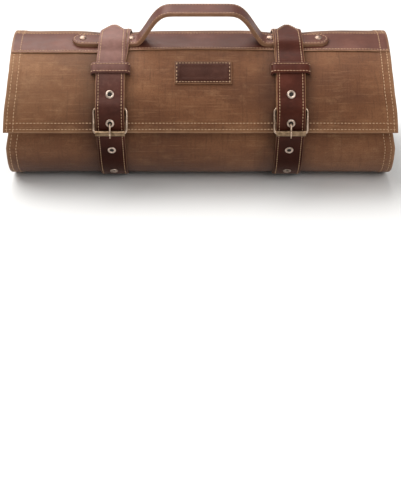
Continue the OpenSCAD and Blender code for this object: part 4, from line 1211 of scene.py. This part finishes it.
# Tool pockets: eight sleeves of lining canvas, one on each panel of the body, sewn down at both sides
# and the foot. Each stands off its panel, with a turned, twice sewn mouth and pleats at its foot.
POCKETS, FIRST_POCKET, POCKET_DEEP, POCKET_OUT, MOUTH_HEM = 8, 3, 116, 11.5, 9
x0 = -HALF + 17.5
x1 = x0 + POCKET_DEEP
for i in range(POCKETS):
    k = FIRST_POCKET + i
    p, n, panel_s = on_sheet(np.linspace(k + 0.06, k + 0.94, 44))
    across = np.linspace(-1, 1, 44)
    bulge = POCKET_OUT * (1 - np.abs(across) ** 4.5)

    def pocket_in(s, x):
        up = np.maximum(x - x0, 0)
        foot = 1 - np.exp(-up / 9)
        pleat = 1.2 * bell(np.abs(np.interp(s, panel_s, across)) - 0.62, 0.07) * np.exp(-up / 40)
        mouth = 0.5 * edge_of(x1 - MOUTH_HEM - x, 0.5)
        full = np.interp(s, panel_s, bulge) * foot * (1 + 0.05 * np.sin(x * 0.09 + k))
        return -2.3 - full + pleat - mouth

    def pocket_out(s, x):
        return np.minimum(pocket_in(s, x) + 1.5, -2.25)

    x = np.unique(np.concatenate([fine(x0, x1, 3.5, 0.6), x1 - np.array([8, 8.6, 9.2, 9.8, 10.4])]))
    o = slab(f"tool_pocket_{i + 1}", p, n, panel_s, x, pocket_out, pocket_in, lining, 0.5, wear_w=2.0,
             warp=draw_in)
    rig.ride(o, PANELS[k])
    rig.replaces(o, f"pocket_{i + 1}")
    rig.slot(o, "lining_canvas")
    width = float(lengths(p - bulge[:, None] * n)[-1])
    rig.sheet(o, flat=((x1 - x0) / 1000, width / 1000), held="gathered", rests_on=[f"body_panel_{i + 1}"])
    for row_x in (x1 - 2.5, x1 - 7.5):
        xs = np.full(len(panel_s), row_x)
        row = np.column_stack([xs, p + (pocket_in(panel_s, xs) - 0.1)[:, None] * n])[2:-2]
        sew("canvas", ("ride", PANELS[k]), row, lambda o, body=PANELS[k]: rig.ride(o, body))

# Tool cover: a loose flap of lining canvas, sewn down along one end of the roll and hemmed on its free
# edge. It is folded in over the mouths of the pockets, so that no tool slides out.
COVER_W = 250
cover_x1 = HALF - 12.5
cover_x0 = cover_x1 - COVER_W


def cover_low(s, x):
    near = np.clip((cover_x1 - x) / 14, 0, 1)
    wave = 0.8 * np.sin(s * 0.11) * np.sin(x * 0.03) + 0.5 * np.sin(s * 0.043 + x * 0.021)
    return -2.4 - 9.6 * ease(cover_x1 - x, 0, 14) - wave * near - 0.4 * edge_of(x - cover_x0 - 9, 0.4)


cover_faces = (lambda s, x: cover_low(s, x) + 1.3), cover_low
for o, j, a, b, length in layer("tool_cover", 3.02, 10.98, cover_x0, cover_x1, *cover_faces, lining, 0.6, -12,
                                2.4, 4.0):
    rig.slot(o, "lining_canvas")
    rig.sheet(o, flat=(COVER_W / 1000, length / 1000), held="folded", rests_on=["body_panel_5"], area=None)
    named = [f"cover_{k - 2}" for k in range(3, 11) if a <= k + 0.5 < b or (k == 10 and b > 10.9)]
    if named:
        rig.replaces(o, *named)
for x in (cover_x0 + 2.5, cover_x0 + 7.5, cover_x1 - 3):
    sew_round("canvas", 3.1, 10.9, x, lambda s, x: cover_low(s, x) - 0.05)

# Eyelets: pale metal rings pressed into the tails' holes, four in each. The hole's shade is painted
# inside: the node tree bends a flattened ring and closes it with a dark disc of painted shade.
EYELET_STEP = 38
eyelet = {"Ring": 0.0036, "Wire": 0.0012, "Hole": 0.0028}
pale = metal("eyelet_metal", "#8c7a6b", "#d4bfb0", 0.32)


def face_out(g):
    """The turn of each point's part, so that it faces out of what it is set in."""
    facing = add(g, "GeometryNodeInputNamedAttribute", {"Name": "facing"}, data_type="FLOAT_VECTOR")
    return add(g, "FunctionNodeAlignRotationToVector", {"Vector": facing}, axis="Z")


def pressed_rings(g, given):
    line, section = (add(g, "GeometryNodeCurvePrimitiveCircle", {"Resolution": count, "Radius": given[size]})
                     for count, size in ((32, "Ring"), (12, "Wire")))
    bent = {"Curve": line, "Profile Curve": section}
    tube = add(g, "GeometryNodeCurveToMesh", bent)
    ring = add(g, "GeometryNodeTransform", {"Geometry": tube, "Scale": (1, 1, 0.62)})
    hole = {"Vertices": 24, "Radius": given["Hole"]}
    disc = add(g, "GeometryNodeMeshCircle", hole, fill_type="NGON")
    # the dark disc is painted shade in the hole, in the zip tape's finish
    shown = (ring, pale), (disc, tape)
    made = [set_out(g, given["Geometry"], solid, face_out(g), mat) for solid, mat in shown]
    return add(g, "GeometryNodeJoinGeometry", {"Geometry": made})


def set_in(name, group, spots, facing, sizes):
    """Small parts set in at spots given in metres, each facing its own way."""
    mesh = bpy.data.meshes.new(name)
    mesh.from_pydata([tuple(v) for v in spots], [], [])
    facing = np.asarray(facing, np.float32).ravel()
    mesh.attributes.new("facing", "FLOAT_VECTOR", "POINT").data.foreach_set("vector", facing)
    return make_parts(name, mesh, group, sizes)


eyelet_rings = small_parts("eyelet_rings", eyelet, pressed_rings)
hole = tail_at(dip) + 9.6
low, high = (hole - 2 * EYELET_STEP,), (hole - EYELET_STEP, hole, hole + 32)
for part, offsets, old in ((0, low, "eyelets_low"), (1, high, "eyelets_high")):
    places = [(side, np.argmin(np.abs(tail_s - s))) for tag, side in SIDES for s in offsets]
    spots = [(side * STRAP_X / 1000, *(tail_p[m] + 3.0 * tail_n[m]) / 1000) for side, m in places]
    outward = [(0, *tail_n[m]) for side, m in places]
    o = set_in(f"eyelet_rings_{part + 1}", eyelet_rings, spots, outward, eyelet)
    tail_follow(o, part)
    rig.replaces(o, old)
    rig.slot(o, "eyelet_metal")

# Rivets: two domed brass heads on each of the handle's tabs, dull with age. They hold the tabs to
# the flap, through strap and band.
RIVET_X = (79.0, 134.0)
rivet = {"Size": (0.0043, 0.0043, 0.0024)}
rivet_metal = metal("rivet_brass", "#715a4c", "#c8ac9a", 0.4)


def domes(g, given):
    ball = add(g, "GeometryNodeMeshUVSphere", {"Segments": 24, "Rings": 14})
    dome = add(g, "GeometryNodeTransform", {"Geometry": ball, "Scale": given["Size"]})
    return set_out(g, given["Geometry"], dome, face_out(g), rivet_metal)


spots = [on_tab(np.array(side * x), 0.0, 6.1) / 1000 for tag, side in SIDES for x in RIVET_X]
outward = (0, -math.cos(TAB_ANGLE), math.sin(TAB_ANGLE))
o = set_in("rivet_domes", small_parts("rivet_domes", rivet, domes), spots, [outward] * len(spots), rivet)
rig.ride(o, "flap_3")
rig.replaces(o, "rivets")
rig.slot(o, "antique_brass")

# Stitching: waxed tan thread in short stitches along every gathered row, a little longer in canvas
# than in leather. Each stitch is a slim grain; the thread's twist shows as flecks of 0.7 mm.
STITCHES = {"leather": {"Pitch": 0.0034, "Size": (0.00135, 0.00048, 0.00036)},
            "canvas": {"Pitch": 0.0039, "Size": (0.0015, 0.00052, 0.00038)}}
thread, tree, shader = finish("tan_thread", {"Roughness": 0.7})
coord = add(tree, "ShaderNodeTexCoord", out=None)
flecks = {"Vector": coord["Object"], "Scale": 1000 / 0.6667, "Detail": 2.0}
twist = add(tree, NOISE, flecks)
tone = add(tree, RAMP, {"Fac": twist}, [(0.35, "#a07c5a"), (0.65, "#cfab86")])
dress(tree, shader, {"Base Color": tone})
grain = row_of("GeometryNodeMeshUVSphere", {"Segments": 8, "Rings": 5}, thread)
stitches = small_parts("stitches", STITCHES["leather"], grain)
for i, ((kind, key), (rider, lines)) in enumerate(sorted(rows.items(), key=lambda row: str(row[0]))):
    seams = lines_through("seams", lines)
    o = make_parts(f"{kind}_stitching_{i + 1:02d}", seams, stitches, STITCHES[kind])
    rider(o)
    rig.slot(o, "strap_leather" if kind == "leather" else "waxed_canvas")

bpy.context.view_layer.update()
now_lo, now_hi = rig.bounds()
with open("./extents.json", "w") as f:
    json.dump({"cad": [list(cad_lo), list(cad_hi)], "now": [list(now_lo), list(now_hi)]}, f)
